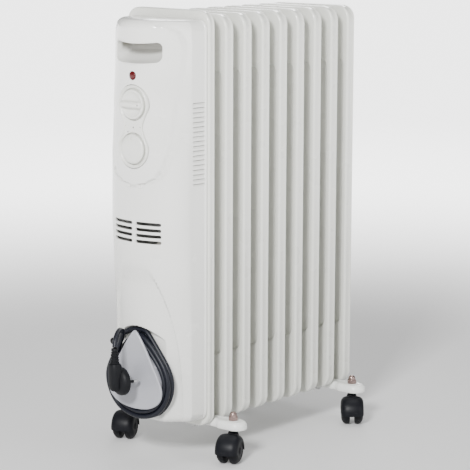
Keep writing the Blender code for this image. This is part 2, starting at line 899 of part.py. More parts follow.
def hood_solid():
    """Caster hood at its own origin on the swivel axis: wheels trail towards -Y, axle along X."""
    centre = Vector((0, -TRAIL, WHEEL_R))
    loops = []
    for a, outer, inner in (
        (-17.8, 18.0, 15.8),
        (-14.5, 21.0, 18.9),
        (-8.5, 22.9, 20.4),
        (8.5, 22.9, 20.4),
        (14.5, 21.0, 18.9),
        (17.8, 18.0, 15.8),
    ):
        loop = []
        for radius, angles in ((outer, range(-6, 187, 32)), (inner, range(186, -7, -32))):
            for angle in angles:
                t = math.radians(angle)
                y = centre.y + radius * MM * math.cos(t)
                loop.append((a * MM, y, centre.z + radius * MM * math.sin(t)))
        loops.append(loop)
    hood = loft("hood", loops)
    web_outline = []
    for i in range(16):
        t = 2 * math.pi * i / 16
        web_outline.append((centre.y + 9 * MM * math.cos(t), centre.z + 9 * MM * math.sin(t)))
    web = loft("tool", [[(a, y, z) for y, z in web_outline] for a in (-3.4 * MM, 3.4 * MM)])
    join(hood, web)
    rib = [(-30, 13), (-24, 12), (-15, 10), (-6, 12), (4.4, 22), (4.4, 39.5), (-30, 39.5)]
    join(hood, loft("tool", [[(a, y * MM, z * MM) for y, z in rib] for a in (-3.4 * MM, 3.4 * MM)]))
    boss = turned("tool", [(6.6 * MM, 39.0 * MM), (6.6 * MM, 42.4 * MM)], 12, False)
    join(hood, boss)
    rod = turned("tool", [(2.8 * MM, -0.03), (2.8 * MM, 0.03)], 10, False)
    cut(hood, moved(rod, Matrix.Translation(centre) @ Matrix.Rotation(math.radians(90), 4, "Y")))
    cut(hood, turned("tool", [(2.7 * MM, 26 * MM), (2.7 * MM, 0.06)], 10, False))
    shade(hood)
    return hood


def wheel_solid():
    """One wheel about X, its inner face towards -X, with a flat facet below."""
    profile = [
        (2.8 * MM, 3.8 * MM),
        (WHEEL_R * 0.93, 3.8 * MM),
        (WHEEL_R, 5.0 * MM),
        (WHEEL_R, 10.0 * MM),
        (WHEEL_R * 0.91, 14.2 * MM),
        (WHEEL_R * 0.74, 17.4 * MM),
        (2.8 * MM, 17.4 * MM),
    ]
    flat = 1 / math.cos(math.pi / 20)
    profile = [(r * flat, z) for r, z in profile]
    wheel = ring_solid("wheel", profile, 20, 0.5)
    return moved(wheel, Matrix.Rotation(math.radians(90), 4, "Y"))


def acorn_solid():
    af = 6.6 * MM
    hexagon = turned("nut", [(0.0, 58.8 * MM), (af, 58.8 * MM), (af, 64.5 * MM), (0.0, 64.5 * MM)], 6, False)
    dome = turned(
        "tool",
        [(0.0, 60 * MM), (5.4 * MM, 60 * MM), (5.4 * MM, 66.5 * MM), (4.2 * MM, 69.4 * MM), (0.0, 71 * MM)],
        12,
    )
    join(hexagon, dome)
    cut(hexagon, turned("tool", [(3.2 * MM, 0.05), (3.2 * MM, 66 * MM)], 10, False))
    return hexagon


def stud_solid():
    return turned(
        "stud",
        [
            (0.0, 26.4 * MM),
            (2.4 * MM, 26.4 * MM),
            (2.4 * MM, 42.7 * MM),
            (5.4 * MM, 42.7 * MM),
            (5.4 * MM, 46.7 * MM),
            (2.9 * MM, 46.7 * MM),
            (2.9 * MM, 65.5 * MM),
            (0.0, 65.5 * MM),
        ],
        12,
    )


def casters():
    hood = hood_solid()
    wheel = wheel_solid()
    other = copy_of(wheel, "other")
    other.data = wheel.data.copy()
    moved(other, Matrix.Rotation(math.radians(180), 4, "Z"))
    nut = acorn_solid()
    stud = stud_solid()
    axle = turned("axle", [(0.0, -17 * MM), (2.5 * MM, -17 * MM), (2.5 * MM, 17 * MM), (0.0, 17 * MM)], 10)
    moved(axle, Matrix.Rotation(math.radians(90), 4, "Y"))
    made = []
    for key, turn in CASTER_TURN.items():
        x = STUD_X if key[1] == "r" else -STUD_X
        y = FOOT_Y[0] if key[0] == "f" else FOOT_Y[1]
        spin = Matrix.Rotation(math.radians(turn), 4, "Z")
        pivot = Matrix.Translation((x, y, 0))
        hub = pivot @ spin @ Matrix.Translation((0, -TRAIL, WHEEL_R))
        for base, name, place in (
            (nut, f"acorn_nut_{key}", pivot),
            (stud, f"swivel_stud_{key}", pivot),
            (hood, f"caster_hood_{key}", pivot @ spin),
            (axle, f"axle_{key}", hub),
            (other, f"wheel_l_{key}", hub),
            (wheel, f"wheel_r_{key}", hub),
        ):
            twin = copy_of(base, name)
            twin.matrix_world = place
            made.append(twin)
    for base in (hood, wheel, other, nut, stud, axle):
        bpy.data.objects.remove(base, do_unlink=True)
    return made


KINDS = (
    ("fin_", "paint"),
    ("upper_header", "paint"),
    ("lower_header", "paint"),
    ("heating_element", "steel"),
    ("element_flange", "steel"),
    ("casing_back_plate", "steel"),
    ("front_bracket", "paint"),
    ("rear_bracket", "paint"),
    ("front_hook", "steel"),
    ("rear_hook", "steel"),
    ("front_wing", "steel"),
    ("rear_wing", "steel"),
    ("acorn", "copper"),
    ("swivel_stud", "black"),
    ("caster", "black"),
    ("axle", "steel"),
    ("wheel", "black"),
    ("pilot_lamp_lens", "red"),
    ("pilot_lamp_holder", "black"),
    ("selector_switch", "ceramic"),
    ("thermostat_knob", "plastic"),
    ("thermostat", "ceramic"),
    ("thermal", "ceramic"),
    ("terminal", "ceramic"),
    ("cord_cleat", "plastic"),
    ("cord", "cord"),
    ("plug", "cord"),
)


def kind_of(name):
    for start, kind in KINDS:
        if name.startswith(start):
            return kind
    return "plastic"


def main():
    clear()
    made = sections() + casing() + controls() + heating() + cord_storage()
    made.append(tube("cord_tail", TAIL_ROUTE, CORD_R, 8 * MM, 2))
    made += [plug(), gland()]
    made.append(foot("front_bracket", FOOT_Y[0]))
    made.append(foot("rear_bracket", FOOT_Y[1]))
    made.append(hook_bolt("front_hook_bolt", FOOT_Y[0]))
    made.append(hook_bolt("rear_hook_bolt", FOOT_Y[1]))
    made.append(wing_nut("front_wing_nut", FOOT_Y[0]))
    made.append(wing_nut("rear_wing_nut", FOOT_Y[1]))
    made += casters()
    shift = Matrix.Translation((0, Y_SHIFT, 0))
    for obj in made:
        obj.matrix_world = shift @ obj.matrix_basis
        mat = material(obj.name, kind_of(obj.name))
        obj.data.materials.clear()
        obj.data.materials.append(mat)


main()
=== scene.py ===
"""Looks of the oil filled radiator heater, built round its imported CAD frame.

Metres, +Z up, casing towards -Y. Lengths are written in the part's own datum, whose Y = 0 is the
rear edge of the first section's rim. Profiles of turned solids are (radius, height) in millimetres.
"""

import math

import bmesh
import bpy
from mathutils import Matrix, Vector


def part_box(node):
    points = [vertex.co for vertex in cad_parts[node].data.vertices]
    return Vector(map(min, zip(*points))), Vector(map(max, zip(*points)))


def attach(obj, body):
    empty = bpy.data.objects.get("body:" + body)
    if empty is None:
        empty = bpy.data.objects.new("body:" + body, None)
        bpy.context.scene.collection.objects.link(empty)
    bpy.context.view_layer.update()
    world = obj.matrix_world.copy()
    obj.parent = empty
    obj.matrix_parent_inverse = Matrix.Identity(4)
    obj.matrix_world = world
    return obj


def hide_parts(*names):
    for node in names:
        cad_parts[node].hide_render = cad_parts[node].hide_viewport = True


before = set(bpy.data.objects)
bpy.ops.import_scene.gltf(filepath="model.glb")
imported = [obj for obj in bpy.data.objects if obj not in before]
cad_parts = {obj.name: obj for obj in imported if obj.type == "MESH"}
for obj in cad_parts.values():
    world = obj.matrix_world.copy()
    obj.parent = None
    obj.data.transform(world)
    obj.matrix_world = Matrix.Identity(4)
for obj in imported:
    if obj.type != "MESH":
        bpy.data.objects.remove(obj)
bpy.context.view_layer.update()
MM = 0.001
SHARP = 32  # degrees between faces beyond which an edge stays sharp
CASE_SHARP = 34
SOFT_SHARP = 40
NUT_SHARP = 25
LEAST_RADIUS = 0.02 * MM
DATUM = Matrix.Translation((0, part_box("fin_1")[1][1], 0))

# Camera: azimuth, elevation and roll in degrees
CAMERA_ANGLES = (39.90, 9.94, 0.18)
CAMERA_PLACE = (1.87396, -2.10575, 0.80792)
CAMERA_LENS = 154.6

# Sections
SECTIONS = 9
PITCH = 40 * MM
FIN_HALF = 76.3 * MM
FIN_SPAN = (50 * MM, 627 * MM)
FIRST_SPAN = (47.5 * MM, 634 * MM)
FIN_CORNER = 20 * MM
PRESSED_HALF = 70 * MM
PRESSED_SPAN = (142 * MM, 552 * MM)
RIM_ROLL = 3.2 * MM
FIN_DEPTH = 16 * MM
FIRST_DEPTH = 12 * MM
HEADERS = {"upper_header": 580 * MM, "lower_header": 97 * MM}

# Casing
CASE_HALF = 70 * MM
CASE_REAR_HALF = 72.5 * MM
CASE_SPAN = (58 * MM, 622 * MM)
CASE_CORNER = 14 * MM
CASE_FILLET = 8 * MM
CASE_REAR = -12.3 * MM
SIDE_FRONT = 41 * MM
WALL = 2.5 * MM
AHEAD = -130 * MM  # Y where the tools that cut the front start
BAY_FLOOR = 64 * MM
BROW_Z = 197 * MM
BROW_DROP = 9.0  # times X squared
LAMP_Z = 546 * MM
KNOBS = (506.5 * MM, 445 * MM)
KNOB_Y = -81 * MM
HANDLE_Z = 579.5 * MM
HANDLE_HALF = 42 * MM
HANDLE_TALL = 27 * MM
HANDLE_BOW = 3 * MM
# Colour of the painted shade behind the hand hold's lip
HOLLOW_SHADE_COLOUR = (0.20, 0.185, 0.155, 1)
FRONT_CREST = -81 * MM  # Y of the casing's front at its middle
FRONT_FALL = 9.0  # how it falls back, times X squared

# Half the raised panel's width against height, both in metres
PANEL_WIDTH = (
    (0.396, 0.004),
    (0.400, 0.020),
    (0.408, 0.033),
    (0.420, 0.041),
    (0.450, 0.049),
    (0.485, 0.052),
    (0.515, 0.054),
    (0.560, 0.059),
    (0.590, 0.060),
    (0.604, 0.056),
    (0.612, 0.046),
    (0.616, 0.030),
)
PANEL_LOW = 391 * MM
ARCH_LOW = 60 * MM
ARCH_TOP = 285 * MM
ARCH_DEEP = 4.2 * MM

# How far the casing's front stands out at its middle, and how full its curve is, by height in mm
NOSE_DEPTH = ((60, 38.5), (200, 41), (300, 42), (480, 41), (620, 40))
NOSE_POWER = (
    (60, 0.95),
    (170, 0.86),
    (280, 0.60),
    (350, 0.50),
    (430, 0.52),
    (500, 0.74),
    (560, 0.96),
    (600, 1.0),
)

# Where an outline's points lie on the casing's side wall, as parts of the way from rear to front
SIDE_STEPS = (0, 0.02, 0.05, 0.085, 0.12, 0.138, 0.15, 0.19, 0.25, 0.35, 0.5, 0.64, 0.77, 0.89)

# Feet
FOOT_Y = {"f": 12 * MM, "r": 292 * MM}
STUD_X = 101 * MM
WING_RADIUS = 15.5  # of a bracket's rounded end, in millimetres
CHANNEL_HALF = 11.4
WHEEL_R = 19 * MM
TRAIL = 15 * MM
CASTER_TURN = {"fl": 25.0, "fr": 21.0, "rl": -40.0, "rr": 40.0}

# Cord. Outlines are the right half as (x, z), and routes (x, y, z), all in millimetres.
CORD_R = 3.5 * MM
STRAND = 3.65 * MM
WOUND_TURNS = (0.12, 3.83)
BACK_Y = -68.6 * MM
FRONT_Y = -75.9 * MM
SHIELD = (
    (0, 190),
    (9, 182),
    (21, 165),
    (34, 143),
    (45, 124),
    (50.5, 107),
    (45, 91.5),
    (27, 80.5),
    (0, 77),
)
COIL_LINE = (
    (0, 177.5),
    (10, 175.5),
    (20, 168.5),
    (33, 155.5),
    (46, 139),
    (53.3, 121),
    (51.5, 103),
    (42, 86),
    (26, 74),
    (0, 68.5),
)
GLAND = ((-52, -69.6, 164), (0.8, 0.0, 0.6), 20)
LEAD_ROUTE = (
    (-36, -69.6, 176),
    (-25.5, -69.4, 182.9),
    (-12, -69, 187.6),
    (1, -68.7, 188.2),
    (13, -68.6, 184.2),
)
TAIL_ROUTE = (
    (-37.5, -77.5, 156),
    (-28, -80.5, 171.5),
    (-21.5, -84.2, 184),
    (-18, -92, 189),
    (-12, -103, 189.5),
    (-6.5, -114, 183),
    (-4, -119.2, 171.0),
)
PLUG_AT = (-4, -119.2, 170.2)
PLUG_TURN = -14.0

# Surroundings: the world's light, the floor's glow against the distance, and the lamps as name,
# place, target, size and watts
WORLD_LIGHT = 0.4
FLOOR_HALF = 30
FLOOR_PAINT = (0.70, 0.70, 0.70)
GLOW_FROM = 0.7
GLOW_TO = 2.6
GLOW_NEAR = 0.1
GLOW_FAR = 3.4
LIGHTS = (
    ("key", (1.15, -2.6, 1.9), (0, 0, 0.35), (0.6, 0.6), 142),
    ("side", (2.9, 0.3, 1.2), (0, 0.1, 0.35), (0.7, 1.4), 22),
    ("top", (0.2, 0.2, 2.8), (0, 0.1, 0.5), (1.0, 1.0), 14),
    ("back", (-1.8, 2.6, 1.8), (0, 0.1, 0.3), (1.2, 1.2), 40),
)

# CAD nodes that show only through the slots and keep their shape, with their materials
INNER_LOOKS = {
    "heating_element": "zinc",
    "element_flange": "zinc",
    "casing_back_plate": "zinc",
    "selector_switch": "ceramic",
    "thermostat": "ceramic",
    "thermal_cutout": "ceramic",
    "terminal_block": "ceramic",
    "pilot_lamp_holder": "black",
}


# Camera


def camera():
    azimuth, elevation, roll = (math.radians(v) for v in CAMERA_ANGLES)
    ahead = Vector(
        (
            -math.sin(azimuth) * math.cos(elevation),
            math.cos(azimuth) * math.cos(elevation),
            -math.sin(elevation),
        )
    )
    level = Vector((math.cos(azimuth), math.sin(azimuth), 0))
    above = level.cross(ahead)
    right = level * math.cos(roll) + above * math.sin(roll)
    up = above * math.cos(roll) - level * math.sin(roll)
    data = bpy.data.cameras.new("camera")
    data.lens = CAMERA_LENS
    data.sensor_width = 36
    data.clip_end = 100
    obj = bpy.data.objects.new("camera", data)
    bpy.context.scene.collection.objects.link(obj)
    turn = Matrix((right, up, -ahead)).transposed().to_4x4()
    obj.matrix_world = DATUM @ Matrix.Translation(CAMERA_PLACE) @ turn
    bpy.context.scene.camera = obj


# Materials


def surface(
    name,
    colour,
    roughness,
    metallic=0.0,
    coat=0.0,
    grain=900.0,
    depth=0.02,
    mottle=0.03,
    uneven=0.06,
    shine=0.5,
):
    """A material whose fine grain, slow colour drift and gloss all vary with the place.

    Grain is the bump's scale and depth its height in millimetres. Mottle and uneven are how far the
    colour and the roughness drift either way, and shine is the specular level.
    """
    mat = bpy.data.materials.new(name)
    mat.use_nodes = True
    nodes = mat.node_tree.nodes
    links = mat.node_tree.links
    shader = nodes["Principled BSDF"]
    shader.inputs["Metallic"].default_value = metallic
    shader.inputs["Coat Weight"].default_value = coat
    shader.inputs["Specular IOR Level"].default_value = shine
    shader.inputs["Coat Roughness"].default_value = 0.12
    mat.diffuse_color = (*colour, 1)
    place = nodes.new("ShaderNodeTexCoord").outputs["Object"]

    drift = nodes.new("ShaderNodeTexNoise")
    drift.inputs["Scale"].default_value = 14
    drift.inputs["Detail"].default_value = 4
    links.new(place, drift.inputs["Vector"])
    tint = nodes.new("ShaderNodeMix")
    tint.data_type = "RGBA"
    tint.inputs["A"].default_value = (*(c * (1 - mottle) for c in colour), 1)
    tint.inputs["B"].default_value = (*(min(1, c * (1 + mottle)) for c in colour), 1)
    links.new(drift.outputs["Fac"], tint.inputs["Factor"])
    links.new(tint.outputs["Result"], shader.inputs["Base Color"])

    fine = nodes.new("ShaderNodeTexNoise")
    fine.inputs["Scale"].default_value = grain
    fine.inputs["Detail"].default_value = 3
    links.new(place, fine.inputs["Vector"])
    gloss = nodes.new("ShaderNodeMapRange")
    gloss.inputs["To Min"].default_value = max(0.02, roughness - uneven)
    gloss.inputs["To Max"].default_value = min(1.0, roughness + uneven)
    links.new(drift.outputs["Fac"], gloss.inputs["Value"])
    links.new(gloss.outputs["Result"], shader.inputs["Roughness"])
    bump = nodes.new("ShaderNodeBump")
    bump.inputs["Strength"].default_value = 0.35
    bump.inputs["Distance"].default_value = depth * MM
    links.new(fine.outputs["Fac"], bump.inputs["Height"])
    links.new(bump.outputs["Normal"], shader.inputs["Normal"])
    return mat


def paint_hollow_shade(mat):
    """Paints shade into the colour behind the hand hold's lip, darker inwards from the front and
    upwards, standing in for the shadow that the lip casts.
    """
    nodes = mat.node_tree.nodes
    links = mat.node_tree.links

    def maths(operation, first, second):
        node = nodes.new("ShaderNodeMath")
        node.operation = operation
        for socket, value in zip(node.inputs, (first, second)):
            if isinstance(value, float):
                socket.default_value = value
            else:
                links.new(value, socket)
        return node.outputs[0]

    def ramp(value, start, end):
        node = nodes.new("ShaderNodeMapRange")
        node.interpolation_type = "SMOOTHSTEP"
        node.inputs["From Min"].default_value = start
        node.inputs["From Max"].default_value = end
        links.new(value, node.inputs["Value"])
        return node.outputs["Result"]

    split = nodes.new("ShaderNodeSeparateXYZ")
    links.new(nodes.new("ShaderNodeTexCoord").outputs["Object"], split.inputs[0])
    x, y, z = split.outputs
    fall = maths("MULTIPLY", maths("MULTIPLY", x, x), FRONT_FALL)
    depth = maths("SUBTRACT", maths("ADD", y, -FRONT_CREST - DATUM.translation.y), fall)
    inwards = ramp(depth, 2 * MM, 9 * MM)
    upwards = ramp(z, HANDLE_Z - 4 * MM, HANDLE_Z + 9 * MM)
    shade = maths("MULTIPLY", inwards, upwards)
    mix = nodes.new("ShaderNodeMix")
    mix.data_type = "RGBA"
    colour = nodes["Principled BSDF"].inputs["Base Color"]
    links.new(colour.links[0].from_socket, mix.inputs["A"])
    mix.inputs["B"].default_value = HOLLOW_SHADE_COLOUR
    links.new(shade, mix.inputs["Factor"])
    links.new(mix.outputs["Result"], colour)
    return mat


def materials():
    plastic = {"grain": 1500, "depth": 0.015, "mottle": 0.015}
    enamel = {"grain": 420, "depth": 0.03}
    dark = {"uneven": 0.1, "shine": 0.2}
    pale = (0.775, 0.775, 0.745)
    control = {"coat": 0.3, "grain": 1800, "depth": 0.012, "mottle": 0.015}
    cleat_look = {"coat": 0.3, "grain": 1500, "depth": 0.02, "mottle": 0.02}
    lens = {"grain": 300, "depth": 0.01, "mottle": 0.1, "shine": 0.35}
    hood_look = {"grain": 1300, "depth": 0.04, "mottle": 0.12, **dark}
    tread = {"grain": 1000, "depth": 0.05, "mottle": 0.12, **dark}
    copper = {"metallic": 1.0, "grain": 1600, "mottle": 0.12}
    zinc = {"metallic": 1.0, "grain": 1200, "mottle": 0.10, "uneven": 0.12}
    sheath = {"grain": 1400, "depth": 0.04, "mottle": 0.15, "shine": 0.3}
    rubber = {"grain": 1600, "depth": 0.05, "mottle": 0.15, **dark}
    return {
        "section": surface("section_enamel", (0.71, 0.715, 0.665), 0.28, coat=0.6, **enamel),
        "bracket": surface("bracket_enamel", (0.85, 0.86, 0.83), 0.28, coat=0.4, **enamel),
        "casing": surface("casing_plastic", pale, 0.26, coat=0.6, **plastic),
        # The cup's colour carries painted shade behind the hand hold's lip
        "cup": paint_hollow_shade(surface("cup_plastic_painted_shade", pale, 0.30, coat=0.3, **plastic)),
        "control": surface("control_plastic", (0.74, 0.745, 0.70), 0.32, **control),
        "cleat": surface("cleat_plastic", (0.37, 0.375, 0.41), 0.36, **cleat_look),
        "mark": surface("dial_mark", (0.12, 0.12, 0.12), 0.5),
        "lamp": surface("lamp_lens", (0.07, 0.002, 0.003), 0.2, **lens),
        "black": surface("caster_plastic", (0.004, 0.0045, 0.007), 0.46, **hood_look),
        "tread": surface("wheel_plastic", (0.003, 0.0033, 0.005), 0.52, **tread),
        "stud": surface("stud_steel", (0.02, 0.02, 0.022), 0.35, metallic=0.4, grain=1500),
        "copper": surface("nut_copper", (0.34, 0.25, 0.23), 0.28, **copper),
        "zinc": surface("zinc_steel", (0.60, 0.60, 0.59), 0.36, **zinc),
        "ceramic": surface("insulator", (0.70, 0.67, 0.60), 0.60, grain=900, depth=0.05),
        "cord": surface("cord_sheath", (0.006, 0.0072, 0.013), 0.42, **sheath),
        "plug": surface("plug_rubber", (0.004, 0.0045, 0.006), 0.50, **rubber),
    }


# Mesh tools


def piece(name, verts, faces, mat, angle, place):
    """A smooth-shaded object with normals outwards, put where place says."""
    mesh = bpy.data.meshes.new(name)
    mesh.from_pydata([tuple(v) for v in verts], [], faces)
    bm = bmesh.new()
    bm.from_mesh(mesh)
    bmesh.ops.recalc_face_normals(bm, faces=bm.faces)
    bm.to_mesh(mesh)
    bm.free()
    mesh.materials.append(mat)
    mesh.transform(place)
    obj = bpy.data.objects.new(name, mesh)
    bpy.context.scene.collection.objects.link(obj)
    soften(obj, angle)
    return obj


def soften(obj, angle=SHARP):
    """Smooth shading, kept sharp where faces meet at more than the angle in degrees."""
    for face in obj.data.polygons:
        face.use_smooth = True
    obj.data.set_sharp_from_angle(angle=math.radians(angle))


def loft(name, loops, mat, angle=SHARP, place=DATUM):
    """A solid through loops of equal count, capped at both ends."""
    count = len(loops[0])
    verts = [v for loop in loops for v in loop]
    faces = []
    for i in range(len(loops) - 1):
        a = i * count
        b = a + count
        for j in range(count):
            k = (j + 1) % count
            faces.append((a + j, a + k, b + k, b + j))
    faces.append(tuple(range(count)))
    faces.append(tuple(range(len(verts) - count, len(verts))))
    return piece(name, verts, faces, mat, angle, place)


def turned(name, profile, mat, place, segments=48, angle=SHARP):
    """A capped solid of revolution about its own Z, from (radius, z) pairs in millimetres."""
    turns = [2 * math.pi * i / segments for i in range(segments)]
    loops = []
    for r, z in profile:
        radius = max(r * MM, LEAST_RADIUS)
        loops.append([(radius * math.cos(a), radius * math.sin(a), z * MM) for a in turns])
    return loft(name, loops, mat, angle, place)


def facing(x, y, z):
    """Puts a solid's own +Z towards -Y at that place in the datum."""
    return DATUM @ Matrix.Translation((x, y, z)) @ Matrix.Rotation(math.radians(90), 4, "X")


def cut(obj, tools, angle=SHARP):
    """Cuts each tool away with an exact Boolean, bakes the result and removes the tools."""
    for tool in tools:
        modifier = obj.modifiers.new("cut", "BOOLEAN")
        modifier.operation = "DIFFERENCE"
        modifier.solver = "EXACT"
        modifier.object = tool
    graph = bpy.context.evaluated_depsgraph_get()
    graph.update()
    mesh = bpy.data.meshes.new_from_object(obj.evaluated_get(graph))
    obj.modifiers.clear()
    obj.data = mesh
    for tool in tools:
        bpy.data.objects.remove(tool, do_unlink=True)
    soften(obj, angle)


def joined(name, objs):
    """One object from several, without merging their vertices."""
    bm = bmesh.new()
    for obj in objs:
        bm.from_mesh(obj.data)
    mesh = bpy.data.meshes.new(name)
    bm.to_mesh(mesh)
    bm.free()
    for mat in objs[0].data.materials:
        mesh.materials.append(mat)
    for obj in objs:
        bpy.data.objects.remove(obj, do_unlink=True)
    out = bpy.data.objects.new(name, mesh)
    bpy.context.scene.collection.objects.link(out)
    soften(out)
    return out


def smoothstep(t):
    t = min(1.0, max(0.0, t))
    return t * t * (3 - 2 * t)


def along(table, value):
    """Reads a table of (value, result) rows, easing from one row to the next."""
    if value <= table[0][0]:
        return table[0][1]
    for (a, fa), (b, fb) in zip(table, table[1:]):
        if value <= b:
            return fa + (fb - fa) * smoothstep((value - a) / (b - a))
    return table[-1][1]


def rounded(half_x, low, high, radius, steps=10):
    """The outline of a rounded rectangle as (x, z) pairs."""
    points = []
    for side, level, start in ((1, high, 0), (-1, high, 90), (-1, low, 180), (1, low, 270)):
        cx = side * (half_x - radius)
        cz = level + (radius if level == low else -radius)
        for i in range(steps + 1):
            angle = math.radians(start + 90 * i / steps)
            points.append((cx + radius * math.cos(angle), cz + radius * math.sin(angle)))
    return points


def spline(points, steps, closed=False):
    """A dense Catmull-Rom curve through the points."""
    points = [Vector(p) for p in points]
    if closed:
        ring = [points[-1], *points, points[0], points[1]]
    else:
        ring = [2 * points[0] - points[1], *points, 2 * points[-1] - points[-2]]
    dense = []
    for p0, p1, p2, p3 in zip(ring, ring[1:], ring[2:], ring[3:]):
        for j in range(steps):
            t = j / steps
            a = 2 * p1 + (p2 - p0) * t + (2 * p0 - 5 * p1 + 4 * p2 - p3) * t * t
            dense.append((a + (3 * p1 - p0 - 3 * p2 + p3) * t**3) / 2)
    return dense if closed else dense + [points[-1]]


def spaced(dense, count, closed=False):
    """Evenly spaced points along a dense line."""
    line = dense + [dense[0]] if closed else dense
    lengths = [0.0]
    for a, b in zip(line, line[1:]):
        lengths.append(lengths[-1] + (b - a).length)
    result = []
    k = 0
    for i in range(count):
        want = lengths[-1] * i / (count if closed else count - 1)
        while k < len(line) - 2 and lengths[k + 1] < want:
            k += 1
        t = (want - lengths[k]) / max(1e-12, lengths[k + 1] - lengths[k])
        result.append(line[k].lerp(line[k + 1], min(1.0, t)))
    return result


def mirrored_ring(half_route):
    right = [Vector((x * MM, z * MM)) for x, z in half_route]
    return right + [Vector((-p.x, p.y)) for p in reversed(right[1:-1])]


def offset_ring(points, grow, count):
    """A closed outline as evenly spaced (x, z) pairs, grown outwards."""
    dense = spline(points, 12, closed=True)
    n = len(dense)
    grown = []
    for i in range(n):
        tangent = (dense[(i + 2) % n] - dense[i - 2]).normalized()
        grown.append(dense[i] + Vector((-tangent.y, tangent.x)) * grow)
    return spaced(grown, count, closed=True)


def finish_piece(obj, body, nodes):
    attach(obj, body)
    if nodes:
        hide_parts(*nodes)
    return obj


# Cord, its gland and its plug


def winding():
    """The wound stretch, clockwise from the top and counted in turns.

    Its strands are the back outer, back inner, front inner and front outer one.
    """
    line = spline(mirrored_ring(COIL_LINE), 12, closed=True)
    total = 240
    middle = spaced(line, total, closed=True)
    first, last = WOUND_TURNS

    def slot(s):
        inwards, forwards, outwards = (smoothstep((s - at) / 0.06) for at in (0.995, 1.955, 2.915))
        return STRAND * (1 - 2 * inwards + 2 * outwards), BACK_Y + (FRONT_Y - BACK_Y) * forwards

    points = []
    steps = round((last - first) * 72)
    for i in range(steps + 1):
        s = first + (last - first) * i / steps
        at = (s % 1) * total
        k = int(at)
        spot = middle[k % total].lerp(middle[(k + 1) % total], at - k)
        tangent = (middle[(k + 3) % total] - middle[k - 2]).normalized()
        grow, y = slot(s)
        out = spot + Vector((-tangent.y, tangent.x)) * grow
        points.append(Vector((out.x, y, out.y)))
    return points


def cord(mats):
    wound = winding()
    lead = [Vector(p) * MM for p in LEAD_ROUTE]
    tail = [Vector(p) * MM for p in TAIL_ROUTE]
    route = lead + wound[2:] + tail
    dense = spline(route, 6)
    length = sum((b - a).length for a, b in zip(dense, dense[1:]))
    path = spaced(dense, round(length / (3.2 * MM)))
    data = bpy.data.curves.new("mains_cord", "CURVE")
    data.dimensions = "3D"
    data.bevel_depth = CORD_R
    data.bevel_resolution = 4
    data.use_fill_caps = True
    line = data.splines.new("POLY")
    line.points.add(len(path) - 1)
    for point, spot in zip(line.points, path):
        point.co = (*(DATUM @ spot), 1)
    line.use_smooth = True
    data.materials.append(mats["cord"])
    obj = bpy.data.objects.new("mains_cord", data)
    bpy.context.scene.collection.objects.link(obj)
    finish_piece(obj, "radiator", ("cord_coil", "cord_tail"))
    return obj, DATUM @ path[0], round(length, 3)


def gland(mats):
    """Ribbed, tapered strain relief where the cord leaves the casing."""
    base, lean, long = GLAND
    profile = [(0, -1.5), (5.6, -1.5), (5.8, 0.6), (5.4, 1.6), (4.6, 2.2)]
    for i in range(5):
        z = 3.0 + 3.3 * i
        r = 5.0 - 0.16 * i
        profile += [(r - 0.9, z), (r - 0.9, z + 1.0), (r, z + 1.4), (r, z + 2.6)]
    profile += [(4.1, long - 0.4), (3.6, long), (0, long)]
    turn = Vector((0, 0, 1)).rotation_difference(Vector(lean)).to_matrix().to_4x4()
    place = DATUM @ Matrix.Translation(Vector(base) * MM) @ turn
    obj = turned("strain_relief", profile, mats["plug"], place, 32)
    return finish_piece(obj, "radiator", ("cord_gland",))


def plug(mats):
    """Angled two-pin plug: ribbed relief, grip, round head and pins, hanging from its cord."""
    turn = Matrix.Rotation(math.radians(PLUG_TURN), 4, "Z")
    place = DATUM @ Matrix.Translation(Vector(PLUG_AT) * MM) @ turn
    relief = [(0, -0.6), (4.3, -0.6)]
    for i in range(6):
        z = -2.2 - 3.5 * i
        r = 4.9 + 0.32 * i
        relief += [(r, z), (r, z - 1.7), (r - 1.1, z - 2.0), (r - 1.1, z - 3.3)]
    relief += [(7.2, -23.4), (0, -23.6)]
    parts = [turned("relief", relief, mats["plug"], place, 32)]

    loops = []
    for z, wide, deep, shift in (
        (-21.5, 5.6, 5.6, 0.0),
        (-22.5, 8.0, 7.6, 0.0),
        (-25.5, 9.4, 8.8, 0.2),
        (-33.0, 9.8, 9.6, 1.0),
        (-42.0, 9.8, 9.8, 1.6),
        (-52.0, 9.6, 9.6, 1.6),
        (-58.0, 8.6, 8.4, 1.6),
        (-61.0, 6.4, 6.2, 1.6),
        (-62.0, 3.0, 3.0, 1.6),
    ):
        loop = []
        for i in range(36):
            t = 2 * math.pi * i / 36
            c, s = math.cos(t), math.sin(t)
            x = wide * math.copysign(abs(c) ** 0.8, c)
            y = deep * math.copysign(abs(s) ** 0.8, s)
            loop.append((x * MM, (y + shift) * MM, z * MM))
        loops.append(loop)
    parts.append(loft("grip", loops, mats["plug"], place=place))

    forwards = Matrix.Rotation(math.radians(90), 4, "X")
    head_place = place @ Matrix.Translation((0, 14.5 * MM, -49 * MM)) @ forwards
    head = [(0, 0.6), (15.5, 0.6), (16.2, 0), (18.4, 0), (19.3, 0.5), (19.7, 1.6), (19.7, 6.4)]
    head += [(19.0, 8.0), (16.5, 10.8), (12.5, 12.6), (7, 13.3), (0, 13.4)]
    parts.append(turned("head", head, mats["plug"], head_place, 56))
    spots = [head_place @ Matrix.Translation((side * 9.5 * MM, 0, 0)) for side in (-1, 1)]
    sleeve = [(0, -10), (1.9, -10), (1.95, -9.6), (1.95, 1), (0, 1)]
    parts += [turned("sleeve", sleeve, mats["plug"], spot, 20) for spot in spots]
    body = joined("mains_plug", parts)
    finish_piece(body, "radiator", ("plug",))

    pin = [(0, -18.5), (1.5, -18.5), (2.4, -16.8), (2.4, -9.9), (0, -9.9)]
    pins = [turned("pin", pin, mats["zinc"], spot, 24) for spot in spots]
    metal = joined("plug_pins", pins)
    finish_piece(metal, "radiator", ())
    return [body, metal]


# Sections and their hubs


